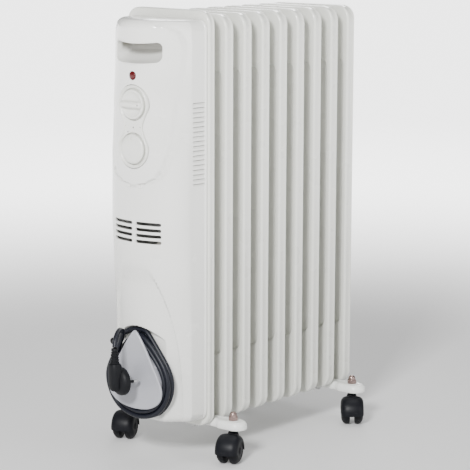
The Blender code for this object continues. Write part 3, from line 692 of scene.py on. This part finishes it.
def section(name, low, high, depth, mat):
    """One section: pressed face with a recessed panel, rolled rim, and the oil channel behind."""

    def at(half, lo, hi, radius, y):
        return [(x, y, z) for x, z in rounded(half, lo, hi, radius)]

    def panel(inset, y):
        i = inset * MM
        lo, hi = PRESSED_SPAN
        return at(PRESSED_HALF - i, lo + i, hi - i, 15 * MM - i, y * MM - depth)

    def rim(inset, y):
        i = inset * MM
        return at(FIN_HALF - i, low + i, high - i, FIN_CORNER - i, y)

    front = -depth
    loops = [panel(9.0, 4.0), panel(7.0, 4.1), panel(5.4, 4.5), panel(4.2, 4.4), panel(3.2, 3.4)]
    loops += [panel(2.4, 1.4), panel(1.4, 0.3), panel(0.2, 0.0)]
    for i in range(8):
        angle = math.radians(90 * i / 7)
        loops.append(rim(3.2 * (1 - math.sin(angle)), front + RIM_ROLL * (1 - math.cos(angle))))
    side = depth - RIM_ROLL
    for part, dip in ((0.15, 0.25), (0.38, 0.7), (0.62, 0.8), (0.74, 0.5), (0.80, 0.1)):
        loops.append(rim(dip, front + RIM_ROLL + side * part))
    for i in range(5):
        angle = math.radians(150 * i / 4)
        loops.append(rim(1.3 * (1 - math.cos(angle)), -1.3 * MM + 1.3 * MM * math.sin(angle)))
    web = -depth / 2 + 1.5 * MM
    loops += [rim(2.6, -2.2 * MM), rim(2.8, web - 1.2 * MM), rim(3.6, web - 0.2 * MM)]
    loops.append(rim(5.0, web))
    channel = ((30, 0.0, 26), (31, 0.3, 25), (33, 1.6, 24), (35.5, 3.3, 23), (38, 4.0, 22))
    for inset, lift, radius in channel:
        half = FIN_HALF - (inset - 19) * MM
        loops.append(at(half, low + inset * MM, high - inset * MM, radius * MM, web + lift * MM))
    return loft(name, loops, mat, angle=38)


def sections(mats):
    first = section("section_1", *FIRST_SPAN, FIRST_DEPTH, mats["section"])
    second = section("section_2", *FIN_SPAN, FIN_DEPTH, mats["section"])
    shapes = [first, second]
    for number in range(3, SECTIONS + 1):
        twin = bpy.data.objects.new(f"section_{number}", second.data.copy())
        bpy.context.scene.collection.objects.link(twin)
        shapes.append(twin)
    for number, obj in enumerate(shapes, 1):
        obj.data.transform(Matrix.Translation((0, (number - 1) * PITCH, 0)))
        finish_piece(obj, "radiator", (f"fin_{number}",))


def hubs(name, z, mats):
    """The welded hub rings of all sections along one header, as one turned pipe."""
    front = FIRST_DEPTH / MM - 0.2
    profile = [(17.5, front), (23, front), (23, 4)]
    pitch = PITCH / MM
    for number in range(1, SECTIONS):
        start = (number - 1) * pitch - 4
        end = number * pitch - 16
        middle = (start + end) / 2
        for y, r in (
            (start, 31),
            (start + 2.5, 29.5),
            (start + 5, 25.5),
            (start + 9, 22.8),
            (middle - 1.6, 22.3),
            (middle - 0.9, 23.9),
            (middle + 0.9, 23.9),
            (middle + 1.6, 22.3),
            (end - 8, 22.8),
            (end - 4, 25.5),
            (end - 1.5, 29.5),
            (end + 1, 31),
        ):
            profile.append((r, -y))
    profile += [(23, -300), (23, -316), (17, -317.5), (0, -318)]
    obj = turned(name + "_hubs", profile, mats["section"], facing(0, 0, z))
    finish_piece(obj, "radiator", (name,))


# Casing


def arch_half(z):
    """Half the width of the shallow arch above and round the cord."""
    t = min(1.0, max(0.0, (z - ARCH_LOW) / (ARCH_TOP - ARCH_LOW)))
    return 62 * MM * (1 - t**2.6) ** 0.45


def front_y(x, z):
    """Y of the casing's front surface above X and Z."""
    u = min(1.0, abs(x) / CASE_HALF)
    nose = SIDE_FRONT + along(NOSE_DEPTH, z / MM) * MM * (1 - u * u) ** along(NOSE_POWER, z / MM)
    half = along(PANEL_WIDTH, z) + 4.5 * MM
    rise = smoothstep((half - abs(x)) / (3.2 * MM))
    rise *= smoothstep((z - PANEL_LOW) / (6 * MM)) * smoothstep((620 * MM - z) / (6 * MM))
    nose += 2.5 * MM * rise
    outside = abs(x) - half
    if z > PANEL_LOW:
        groove = 1.6 * math.exp(-(((outside / MM - 0.8) / 1.3) ** 2))
        groove += 1.3 * math.exp(-(((outside / MM - 3.5) / 3.2) ** 2))
        nose -= groove * MM * smoothstep((614 * MM - z) / (8 * MM))
    if z < ARCH_TOP:
        inside = smoothstep((arch_half(z) - abs(x)) / (2.4 * MM))
        nose -= ARCH_DEEP * inside * smoothstep((ARCH_TOP - z) / (30 * MM))
    brow = BROW_Z - BROW_DROP * x * x
    if z < brow:
        nose = min(nose, BAY_FLOOR + 18 * MM * (1 - smoothstep((brow - z) / (5 * MM))))
    return -nose


def case_loop(z, inset, columns):
    """One horizontal outline of the casing, from rear edge to rear edge round its front."""
    low = CASE_SPAN[0] + inset
    high = CASE_SPAN[1] - inset
    from_end = max(0.0, min(z - low, high - z))

    def drawn_in(radius):
        if from_end >= radius:
            return 0.0
        return radius - math.sqrt(max(0.0, radius**2 - (radius - from_end) ** 2))

    shrink = drawn_in(CASE_CORNER - inset)
    back = drawn_in(CASE_FILLET)
    half = CASE_HALF - inset - shrink
    outline = []
    for i in range(columns):
        u = math.cos(math.pi * i / (columns - 1))
        x = half * (0.80 * u + 0.20 * u**3)
        outline.append(Vector((x, front_y(x * CASE_HALF / half, z) + inset + back)))
    rear_half = CASE_REAR_HALF - inset - shrink
    rear = CASE_REAR + (10 * MM if inset else 0)
    sides = []
    for t in SIDE_STEPS:
        lip = 0.0
        if not inset:
            lip = 1.5 * MM * math.sqrt(max(0.0, 1 - ((t - 0.07) / 0.075) ** 2))
        across = rear_half + (half - rear_half) * t + lip
        sides.append(Vector((across, rear + (outline[0].y - rear) * t)))
    ring = sides + outline + [Vector((-p.x, p.y)) for p in reversed(sides)]
    for _ in range(3):
        smooth = list(ring)
        for i in range(9, len(ring) - 9):
            if abs(ring[i].x) > CASE_HALF - 7.5 * MM:
                smooth[i] = (ring[i - 1] + 2 * ring[i] + ring[i + 1]) / 4
        ring = smooth
    return [(p.x, p.y, z) for p in ring]


def case_levels(inset):
    """Heights of the outlines: closest at both ends, the cord bay's brow and the panel's foot."""
    low = CASE_SPAN[0] + inset
    high = CASE_SPAN[1] - inset
    ends = [0.0, 0.4, 1.2, 2.4, 4.0, 6.0, 8.5, 11.5, 14.5]
    levels = [low + e * MM for e in ends] + [high - e * MM for e in ends]
    z = 78.0
    while z < 606:
        levels.append(z * MM)
        if 186 < z < 199:
            z += 0.75
        elif 176 < z < 210:
            z += 1.5
        elif 376 < z < 412:
            z += 1.2
        elif z > 592:
            z += 2.5
        else:
            z += 5
    return sorted(levels)


def case_solid(name, inset, mat, columns=129):
    return loft(name, [case_loop(z, inset, columns) for z in case_levels(inset)], mat, CASE_SHARP)


def prism(name, outline, y0, y1, mat):
    return loft(name, [[(x, y, z) for x, z in outline] for y in (y0, y1)], mat)


def figure_eight(grow):
    """Outline of the control plate: two circles with a soft waist, as evenly spaced points."""
    radius = 27 * MM + grow
    waist = 17 * MM + grow
    middle = (KNOBS[0] + KNOBS[1]) / 2
    points = []
    for centre, start in ((KNOBS[0], -38), (KNOBS[1], 142)):
        for i in range(9):
            angle = math.radians(start + 32 * i)
            points.append((radius * math.cos(angle), centre + radius * math.sin(angle)))
        points.append((-waist if start < 0 else waist, middle))
    return [(p.x, p.y) for p in spaced(spline(points, 10, closed=True), 120, closed=True)]


def handle_outline(grow, lip=HANDLE_BOW, chin=HANDLE_BOW, low=0.0, high=0.0):
    """The hand hold's outline, with its upper edge bowed down by lip and its lower edge by chin."""
    half = HANDLE_HALF + grow
    bottom = HANDLE_Z - HANDLE_TALL / 2 - grow + low
    top = HANDLE_Z + HANDLE_TALL / 2 + grow + high
    ring = rounded(half, bottom, top, min(8 * MM + grow, 0.45 * (top - bottom)))
    quarter = len(ring) // 4
    outline = []
    for i, (x, z) in enumerate(ring):
        outline.append((x, z))
        if i in (quarter - 1, 3 * quarter - 1):
            far_x, far_z = ring[i + 1]
            for j in range(1, 12):
                outline.append((x + (far_x - x) * j / 12, z + (far_z - z) * j / 12))
    middle = (top + bottom) / 2
    bowed = []
    for x, z in outline:
        bow = lip if z > middle else chin
        bowed.append((x, z - bow * (1 - (x / half) ** 2)))
    return bowed


def slot_outline(centre, z, half, tall):
    return [(centre + x, z + dz) for x, dz in rounded(half, -tall, tall, tall * 0.98, 5)]


def casing(mats):
    cover = case_solid("cover", 0.0, mats["casing"])
    tools = [case_solid("inside", WALL, mats["casing"], 49)]
    tools.append(prism("opening", handle_outline(1.2 * MM), AHEAD, -30 * MM, mats["casing"]))
    tools.append(prism("window", figure_eight(0.6 * MM), AHEAD, -50 * MM, mats["casing"]))
    eye = facing(0, -70 * MM, LAMP_Z)
    tools.append(turned("eye", [(6.3, -20), (6.3, 50)], mats["casing"], eye, 40))
    for row in range(4):
        for centre in (-23 * MM, 23 * MM):
            outline = slot_outline(centre, (342 - 8.4 * row) * MM, 20 * MM, 2.3 * MM)
            tools.append(prism("vent", outline, AHEAD, -50 * MM, mats["casing"]))
    for i in range(18):
        z = (508 - 6.6 * i) * MM
        for side in (-1, 1):
            tools.append(louvre_pocket(side, z, mats))
    cut(cover, tools, CASE_SHARP)
    cover.name = "cover_shell"
    finish_piece(cover, "radiator", ("front_cover",))


def louvre_pocket(side, z, mats):
    """A cutter that leaves one shallow sloping louvre in the casing's side wall."""
    loops = []
    clear = CASE_REAR_HALF + 6 * MM
    for y, deep in ((-38.6, 0.4), (-36.8, 1.1), (-33, 1.5), (-20, 1.7), (-17.4, 1.7), (-16, 0.9)):
        part = (y * MM - CASE_REAR) / (-SIDE_FRONT - CASE_REAR)
        wall = CASE_REAR_HALF + (CASE_HALF - CASE_REAR_HALF) * part
        skin = wall - deep * MM
        through = wall - (deep + 2.6) * MM
        outline = [(clear, 1.5), (clear, -2.2), (wall - 0.05 * MM, -2.2), (skin, 0.5)]
        outline += [(through, 0.6), (through, 1.5)]
        loops.append([(side * px, y * MM, z + dz * MM) for px, dz in outline])
    return loft("louvre", loops, mats["casing"])


def handle_cup(mats):
    """The recessed hand hold, its mouth rounded into the cover's front."""
    loops = []

    def on_front(outline, deep):
        return [(x, front_y(x, z) + deep, z) for x, z in outline]

    for grow, deep in (
        (1.9, 1.4),
        (2.1, -0.25),
        (1.7, -0.55),
        (1.0, -0.62),
        (0.4, -0.40),
        (0.05, 0.10),
        (-0.2, 1.0),
        (-0.3, 2.4),
    ):
        loops.append(on_front(handle_outline(grow * MM), deep * MM))
    for grow, rise_low, rise_high, bow, y in (
        (-0.6, 0.4, 1.8, 2.6, -71),
        (-0.9, 2.0, 2.6, 2.0, -64),
        (-1.5, 4.6, 3.2, 1.0, -56),
        (-2.2, 7.0, 3.6, 0.4, -49),
        (-3.2, 8.6, 3.2, 0, -44.5),
        (-4.6, 9.0, 2.0, 0, -42.2),
        (-6.0, 9.2, 0.6, 0, -41),
    ):
        outline = handle_outline(grow * MM, 0, bow * MM, rise_low * MM, rise_high * MM)
        loop = []
        for x, z in outline:
            behind_front = front_y(x, z) + (3.2 - grow) * MM
            loop.append((x, min(-41 * MM, max(y * MM, behind_front)), z))
        loops.append(loop)
    wall = handle_outline(3 * MM, 0)
    back = [[(x, -38.2 * MM, z) for x, z in wall], on_front(wall, 2.7 * MM)]
    solid = loft("cup", back + loops, mats["cup"], SOFT_SHARP)
    finish_piece(solid, "radiator", ("handle_cup",))


def bezel(mats):
    """Figure-eight control plate with a rolled edge and two dished seats."""
    loops = []
    for grow, y in (
        (-0.1, -79.5),
        (-0.1, -83.0),
        (-0.4, -84.2),
        (-1.2, -84.9),
        (-2.0, -84.7),
        (-2.7, -83.9),
        (-3.4, -83.3),
    ):
        loops.append([(x, y * MM, z) for x, z in figure_eight(grow * MM)])
    plate = loft("bezel_plate", loops, mats["control"])
    seat = [(0, 0), (19.2, 0), (19.4, -1.2), (22.1, -1.2), (22.3, 1.2), (22.9, 2.2), (24.0, 3.0)]
    seat += [(24.6, 8), (0, 8)]
    cut(plate, [turned("dish", seat, mats["control"], facing(0, KNOB_Y, z), 72) for z in KNOBS])
    plate.name = "control_plate"
    finish_piece(plate, "radiator", ("control_bezel",))

    middle = (KNOBS[0] + KNOBS[1]) / 2
    dots = []
    places = [(0.5, -1.0, 1.1), (-9.5, -7.4, 0.8), (5.5, -8.8, 0.8), (-14, 0.5, 0.6), (13, 0, 0.6)]
    for x, dz, r in places:
        spot = facing(x * MM, -83.42 * MM, middle + dz * MM)
        dots.append(turned("dot", [(r, 0), (r, 0.12)], mats["mark"], spot, 20))
    marks = joined("dial_marks", dots)
    finish_piece(marks, "radiator", ())


KNOB_PROFILE = (
    (0, -1.5),
    (3.0, -1.5),
    (3.0, 0.3),
    (17.6, 0.3),
    (19.4, 0.3),
    (20.2, 0.8),
    (20.5, 1.6),
    (20.5, 3.9),
    (20.2, 4.7),
    (19.4, 5.3),
)


def knobs(mats):
    """The selector, a disc with a grip bar across it, and the thermostat, a plain domed dial."""
    upper, lower = (facing(0, KNOB_Y, z) for z in KNOBS)
    flat = [*KNOB_PROFILE, (18.4, 5.5), (17.6, 5.3), (16.6, 4.4), (14.5, 3.4), (10, 2.9), (0, 2.8)]
    knob = turned("knob_disc", flat, mats["control"], upper, 72)
    bar = []
    for z, half, thick, radius in (
        (2.2, 17.2, 4.4, 3.0),
        (4.6, 19.0, 4.5, 3.0),
        (6.0, 19.3, 4.4, 3.0),
        (8.6, 19.0, 4.1, 3.2),
        (9.8, 18.5, 3.6, 3.2),
        (10.5, 17.7, 2.7, 2.4),
        (10.8, 16.4, 1.6, 1.4),
    ):
        bar.append([(x * MM, y * MM, z * MM) for x, y in rounded(half, -thick, thick, radius, 6)])
    grip = loft("grip_bar", bar, mats["control"], place=upper)
    selector = joined("selector_grip", [knob, grip])
    finish_piece(selector, "selector", ("selector_knob",))
    spot = facing(15.4 * MM, KNOB_Y - 10.7 * MM, KNOBS[0])
    dot = turned("pointer", [(1.1, 0), (1.1, 0.15)], mats["mark"], spot, 20)
    finish_piece(dot, "selector", ())

    dome = [*KNOB_PROFILE, (18.6, 5.75), (16, 6.2), (12, 6.7), (7, 7.05), (3, 7.2), (0, 7.2)]
    dial = turned("dial", dome, mats["control"], lower, 72)
    notch_outline = rounded(0.7, 12.6, 18.0, 0.65, 5)
    notch_loops = [[(x * MM, y * MM, z * MM) for x, y in notch_outline] for z in (5.2, 9)]
    notch = loft("notch", notch_loops, mats["control"], place=lower)
    cut(dial, [notch])
    dial.name = "thermostat_dial_face"
    finish_piece(dial, "thermostat_dial", ("thermostat_knob",))


def lamp(mats):
    profile = [(0, -6), (5.8, -6), (5.8, 0.4), (5.5, 1.1), (4.8, 1.6), (3.6, 2.0), (2.0, 2.25)]
    profile += [(0, 2.3)]
    place = facing(0, -83.5 * MM, LAMP_Z)
    lens = turned("lamp_lens", profile, mats["lamp"], place, 40)
    finish_piece(lens, "radiator", ("pilot_lamp_lens",))


def cleat(mats):
    """The boss the cord is wound on, with its drop-shaped keeper plate."""
    count = 120
    ring = mirrored_ring(COIL_LINE)
    shield = mirrored_ring(SHIELD)
    loops = []
    for outline, grow, y in (
        (ring, -8.0, -64.3),
        (ring, -8.0, -79.6),
        (shield, -1.0, -79.9),
        (shield, -0.5, -80.3),
        (shield, -0.2, -81.0),
        (shield, -0.2, -82.4),
        (shield, -0.6, -83.1),
        (shield, -1.5, -83.5),
        (shield, -2.6, -83.6),
    ):
        loops.append([(p.x, y * MM, p.y) for p in offset_ring(outline, grow * MM, count)])
    heart = 112 * MM
    for scale, y in ((0.965, -83.5), (0.92, -83.2), (0.8, -82.9), (0.5, -82.7), (0.15, -82.6)):
        loops.append([(x * scale, y * MM, heart + (z - heart) * scale) for x, _, z in loops[8]])
    obj = loft("keeper", loops, mats["cleat"], SOFT_SHARP)
    finish_piece(obj, "radiator", ("cord_cleat",))


# Feet and casters


def bracket(key, mats):
    """Pressed channel across the bottom of the sections, with a rounded wing at each end."""
    y = FOOT_Y[key]

    def outline(inset):
        points = []
        for side in (1, -1):
            tip = 122 - WING_RADIUS
            reach = WING_RADIUS - inset
            waist = CHANNEL_HALF - inset
            points += [(side * 60, -side * waist), (side * 76, -side * waist)]
            for i in range(1, 6):
                t = smoothstep(i / 6)
                points.append((side * (76 + 12 * i / 6), -side * (waist + (reach - waist) * t)))
            for i in range(13):
                angle = math.radians(-90 + 15 * i)
                out = tip + reach * math.cos(angle)
                points.append((side * out, side * reach * math.sin(angle)))
            for i in range(5, 0, -1):
                t = smoothstep(i / 6)
                points.append((side * (76 + 12 * i / 6), side * (waist + (reach - waist) * t)))
            points += [(side * 76, side * waist), (side * 60, side * waist)]
        return [(px * MM, y + py * MM) for px, py in points]

    loops = []
    for inset, z in (
        (2.6, 55.0),
        (2.6, 47.6),
        (2.3, 47.1),
        (1.3, 46.95),
        (0.4, 47.2),
        (0.0, 47.9),
        (0.0, 51.0),
        (0.35, 53.4),
        (1.3, 55.5),
        (2.8, 57.2),
        (4.6, 58.2),
        (6.2, 58.5),
        (7.4, 58.35),
        (8.4, 58.1),
    ):
        loops.append([(px, py, z * MM) for px, py in outline(inset)])
    obj = loft("channel", loops, mats["bracket"], SOFT_SHARP)
    bosses = []
    for side in (-1, 1):
        profile = [(3.4, 47.2), (7.5, 47.2), (7.5, 57), (3.4, 57)]
        spot = DATUM @ Matrix.Translation((side * STUD_X, y, 0))
        bosses.append(turned("boss", profile, mats["bracket"], spot, 32))
        rise = [(3.4, 57.3), (9.4, 57.3), (8.9, 58.0), (8.0, 58.6), (3.4, 58.65)]
        bosses.append(turned("seat", rise, mats["bracket"], spot, 40))
    name = "front_bracket" if key == "f" else "rear_bracket"
    whole = joined(name + "_pressing", [obj] + bosses)
    finish_piece(whole, "radiator", (name,))


def hardware(key, mats):
    """Acorn nut and swivel stud of one caster."""
    x = STUD_X if key[1] == "r" else -STUD_X
    spot = DATUM @ Matrix.Translation((x, FOOT_Y[key[0]], 0))
    hexagon = []
    for z, r in ((58.8, 6.9), (59.4, 7.4), (63.6, 7.4), (64.4, 6.9)):
        ring = []
        for i in range(6):
            a = math.radians(60 * i + 12)
            b = math.radians(60 * i + 72)
            for t in (0.06, 0.5, 0.94):
                px = math.cos(a) * (1 - t) + math.cos(b) * t
                py = math.sin(a) * (1 - t) + math.sin(b) * t
                ring.append((px * r * MM, py * r * MM, z * MM))
        hexagon.append(ring)
    body = loft("hex", hexagon, mats["copper"], NUT_SHARP, spot)
    profile = [(0, 64.0), (6.1, 64.0), (5.9, 64.9), (5.4, 65.3), (5.3, 67.0), (4.8, 68.6)]
    profile += [(3.9, 69.9), (2.5, 70.8), (1.0, 71.1), (0, 71.15)]
    dome = turned("dome", profile, mats["copper"], spot, 32, NUT_SHARP)
    nut = joined(f"nut_{key}", [body, dome])
    soften(nut, NUT_SHARP)
    finish_piece(nut, "radiator", (f"acorn_nut_{key}",))

    profile = [(0, 26.4), (2.4, 26.4), (2.4, 42.7), (5.9, 42.6), (6.2, 43.0), (6.2, 44.4)]
    profile += [(5.9, 44.8), (4.6, 45.0), (4.6, 46.7), (2.9, 46.7), (2.9, 60), (0, 60)]
    stud = turned(f"stud_{key}", profile, mats["stud"], spot, 32)
    finish_piece(stud, "radiator", (f"swivel_stud_{key}",))


def caster(key, mats):
    """Domed twin-wheel caster about its swivel axis, the wheels trailing behind."""
    x = STUD_X if key[1] == "r" else -STUD_X
    spin = Matrix.Rotation(math.radians(CASTER_TURN[key]), 4, "Z")
    pivot = DATUM @ Matrix.Translation((x, FOOT_Y[key[0]], 0)) @ spin
    hub = pivot @ Matrix.Translation((0, -TRAIL, WHEEL_R))
    parts = [hood(mats, pivot)]
    web = [(0, -3.4), (5.4, -3.4), (5.4, 3.4), (0, 3.4)]
    across = hub @ Matrix.Rotation(math.radians(90), 4, "Y")
    parts.append(turned("web", web, mats["black"], across, 32))
    rib = [(-33, 24), (-24, 20), (-15, 18), (-6, 20), (4.4, 24), (4.4, 38.4), (-4, 38.4)]
    rib += [(-22, 38.4), (-28, 33)]
    rib_loops = [[(a, ry * MM, rz * MM) for ry, rz in rib] for a in (-3.2 * MM, 3.2 * MM)]
    parts.append(loft("rib", rib_loops, mats["black"], place=pivot))
    boss = [(2.7, 36.0), (8.2, 37.2), (7.6, 39.6), (6.9, 41.4), (6.4, 42.2), (5.6, 42.4)]
    boss.append((2.7, 42.4))
    parts.append(turned("collar", boss, mats["black"], pivot, 36))
    whole = joined(f"hood_{key}", parts)
    finish_piece(whole, f"caster_{key}", (f"caster_hood_{key}",))

    for side, turn in (("l", -90), ("r", 90)):
        outward = hub @ Matrix.Rotation(math.radians(turn), 4, "Y")
        profile = [
            (2.8, 3.8),
            (16.5, 3.8),
            (18.3, 4.2),
            (18.9, 5.0),
            (19.0, 6.2),
            (19.0, 9.0),
            (18.7, 10.6),
            (17.9, 12.2),
            (16.7, 13.7),
            (15.0, 15.0),
            (13.0, 15.9),
            (11.8, 16.2),
            (11.2, 15.8),
            (10.4, 15.6),
            (6.0, 16.0),
            (4.6, 16.4),
            (3.9, 17.1),
            (0, 17.3),
        ]
        wheel = turned(f"roller_{side}_{key}", profile, mats["tread"], outward, 56)
        finish_piece(wheel, f"wheel_{side}_{key}", (f"wheel_{side}_{key}",))


def hood(mats, place):
    """The caster's shell over both wheels, rounded round and across."""
    stations = [(-16.9, 13.6), (-16.7, 16.2), (-15.8, 18.4), (-14.2, 20.4), (-12.0, 21.7)]
    stations += [(-9.0, 22.6), (-4.5, 23.1), (0.0, 23.2)]
    stations += [(-a, r) for a, r in reversed(stations[:-1])]
    loops = []
    for a, outer in stations:
        inner = min(outer - 0.5, 20.6 - 0.011 * a * a)
        loop = []
        for r, first, sweep in ((outer * MM, -8, 196), (inner * MM, 188, -196)):
            for i in range(25):
                t = math.radians(first + sweep * i / 24)
                loop.append((a * MM, -TRAIL + r * math.cos(t), WHEEL_R + r * math.sin(t)))
        loops.append(loop)
    return loft("shell", loops, mats["black"], SOFT_SHARP, place)


def fixings(key, mats):
    """Hook bolt over the lower header, with the wing nut that draws the bracket up."""
    name = "front" if key == "f" else "rear"
    centre = DATUM @ Matrix.Translation((0, FOOT_Y[key], 0))
    reach = 27
    header = HEADERS["lower_header"] / MM
    points = [Vector((reach, 0, z)) for z in (37, 60, 85, header)]
    for i in range(1, 21):
        angle = math.radians(10 * i)
        points.append(Vector((reach * math.cos(angle), 0, header + reach * math.sin(angle))))
    loops = []
    for i, p in enumerate(points):
        ahead = (points[min(i + 1, len(points) - 1)] - points[max(i - 1, 0)]).normalized()
        side = Vector((0, 1, 0))
        out = side.cross(ahead)
        ring = []
        for k in range(20):
            a = 2 * math.pi * k / 20
            ring.append((p + (side * math.cos(a) + out * math.sin(a)) * 2.5) * MM)
        loops.append(ring)
    bolt = loft(f"{name}_hook", loops, mats["zinc"], place=centre)
    finish_piece(bolt, "radiator", (f"{name}_hook_bolt",))

    spot = centre @ Matrix.Translation((reach * MM, 0, 0))
    body = [(2.9, 39.5), (4.6, 39.5), (5.0, 40.0), (6.0, 46.0), (5.7, 46.5), (2.9, 46.6)]
    parts = [turned("collar", body, mats["zinc"], spot, 32)]
    for side in (-1, 1):
        leaf = [(3.5, 40.5), (7, 39.2), (11.5, 38.7), (13.4, 39.6), (14, 41.4), (13.4, 43.8)]
        leaf += [(11.6, 45), (7.5, 44.6), (3.5, 45.6)]
        wing_loops = [[(side * px * MM, py * MM, pz * MM) for px, pz in leaf] for py in (-1.2, 1.2)]
        parts.append(loft("leaf", wing_loops, mats["zinc"], place=spot))
    nut = joined(f"{name}_wing", parts)
    finish_piece(nut, "radiator", (f"{name}_wing_nut",))


# Surroundings


def floor_paint():
    """Matt pale paint, glowing faintly near the object and brightly far from it."""
    mat = surface("floor_paint", FLOOR_PAINT, 0.85, grain=60, depth=0.05, mottle=0.004, uneven=0.03)
    nodes = mat.node_tree.nodes
    links = mat.node_tree.links
    shader = nodes["Principled BSDF"]
    shader.inputs["Specular IOR Level"].default_value = 0.1
    shader.inputs["Emission Color"].default_value = (1, 1, 1, 1)
    place = nodes.new("ShaderNodeTexCoord").outputs["Object"]
    distance = nodes.new("ShaderNodeVectorMath")
    distance.operation = "LENGTH"
    links.new(place, distance.inputs[0])
    glow = nodes.new("ShaderNodeMapRange")
    glow.interpolation_type = "SMOOTHSTEP"
    glow.inputs["From Min"].default_value = GLOW_FROM
    glow.inputs["From Max"].default_value = GLOW_TO
    glow.inputs["To Min"].default_value = GLOW_NEAR
    glow.inputs["To Max"].default_value = GLOW_FAR
    links.new(distance.outputs["Value"], glow.inputs["Value"])
    links.new(glow.outputs["Result"], shader.inputs["Emission Strength"])
    return mat


def floor():
    mesh = bpy.data.meshes.new("floor")
    corners = [(x * FLOOR_HALF, y * FLOOR_HALF, 0) for x, y in ((-1, -1), (1, -1), (1, 1), (-1, 1))]
    mesh.from_pydata(corners, [], [(0, 1, 2, 3)])
    mesh.materials.append(floor_paint())
    obj = bpy.data.objects.new("floor", mesh)
    bpy.context.scene.collection.objects.link(obj)


def light(name, place, target, size, power):
    data = bpy.data.lights.new(name, "AREA")
    data.shape = "RECTANGLE"
    data.size, data.size_y = size
    data.energy = power
    obj = bpy.data.objects.new(name, data)
    bpy.context.scene.collection.objects.link(obj)
    obj.location = place
    obj.rotation_euler = (Vector(target) - Vector(place)).to_track_quat("-Z", "Y").to_euler()


def studio():
    world = bpy.data.worlds.new("studio")
    world.use_nodes = True
    background = world.node_tree.nodes["Background"]
    background.inputs["Color"].default_value = (1, 1, 1, 1)
    background.inputs["Strength"].default_value = WORLD_LIGHT
    bpy.context.scene.world = world
    for name, place, target, size, power in LIGHTS:
        light(name, place, target, size, power)
    floor()


def main():
    mats = materials()
    camera()
    plug_pieces = plug(mats)
    cable, cable_exit, length = cord(mats)
    gland(mats)
    sections(mats)
    for name, z in HEADERS.items():
        hubs(name, z, mats)
    casing(mats)
    handle_cup(mats)
    bezel(mats)
    knobs(mats)
    lamp(mats)
    cleat(mats)
    for key in ("f", "r"):
        bracket(key, mats)
        fixings(key, mats)
    for key in CASTER_TURN:
        hardware(key, mats)
        caster(key, mats)
    for name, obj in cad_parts.items():
        look = "zinc" if name.startswith("axle") else INNER_LOOKS.get(name)
        if look:
            obj.data.materials.clear()
            obj.data.materials.append(mats[look])
    studio()


main()
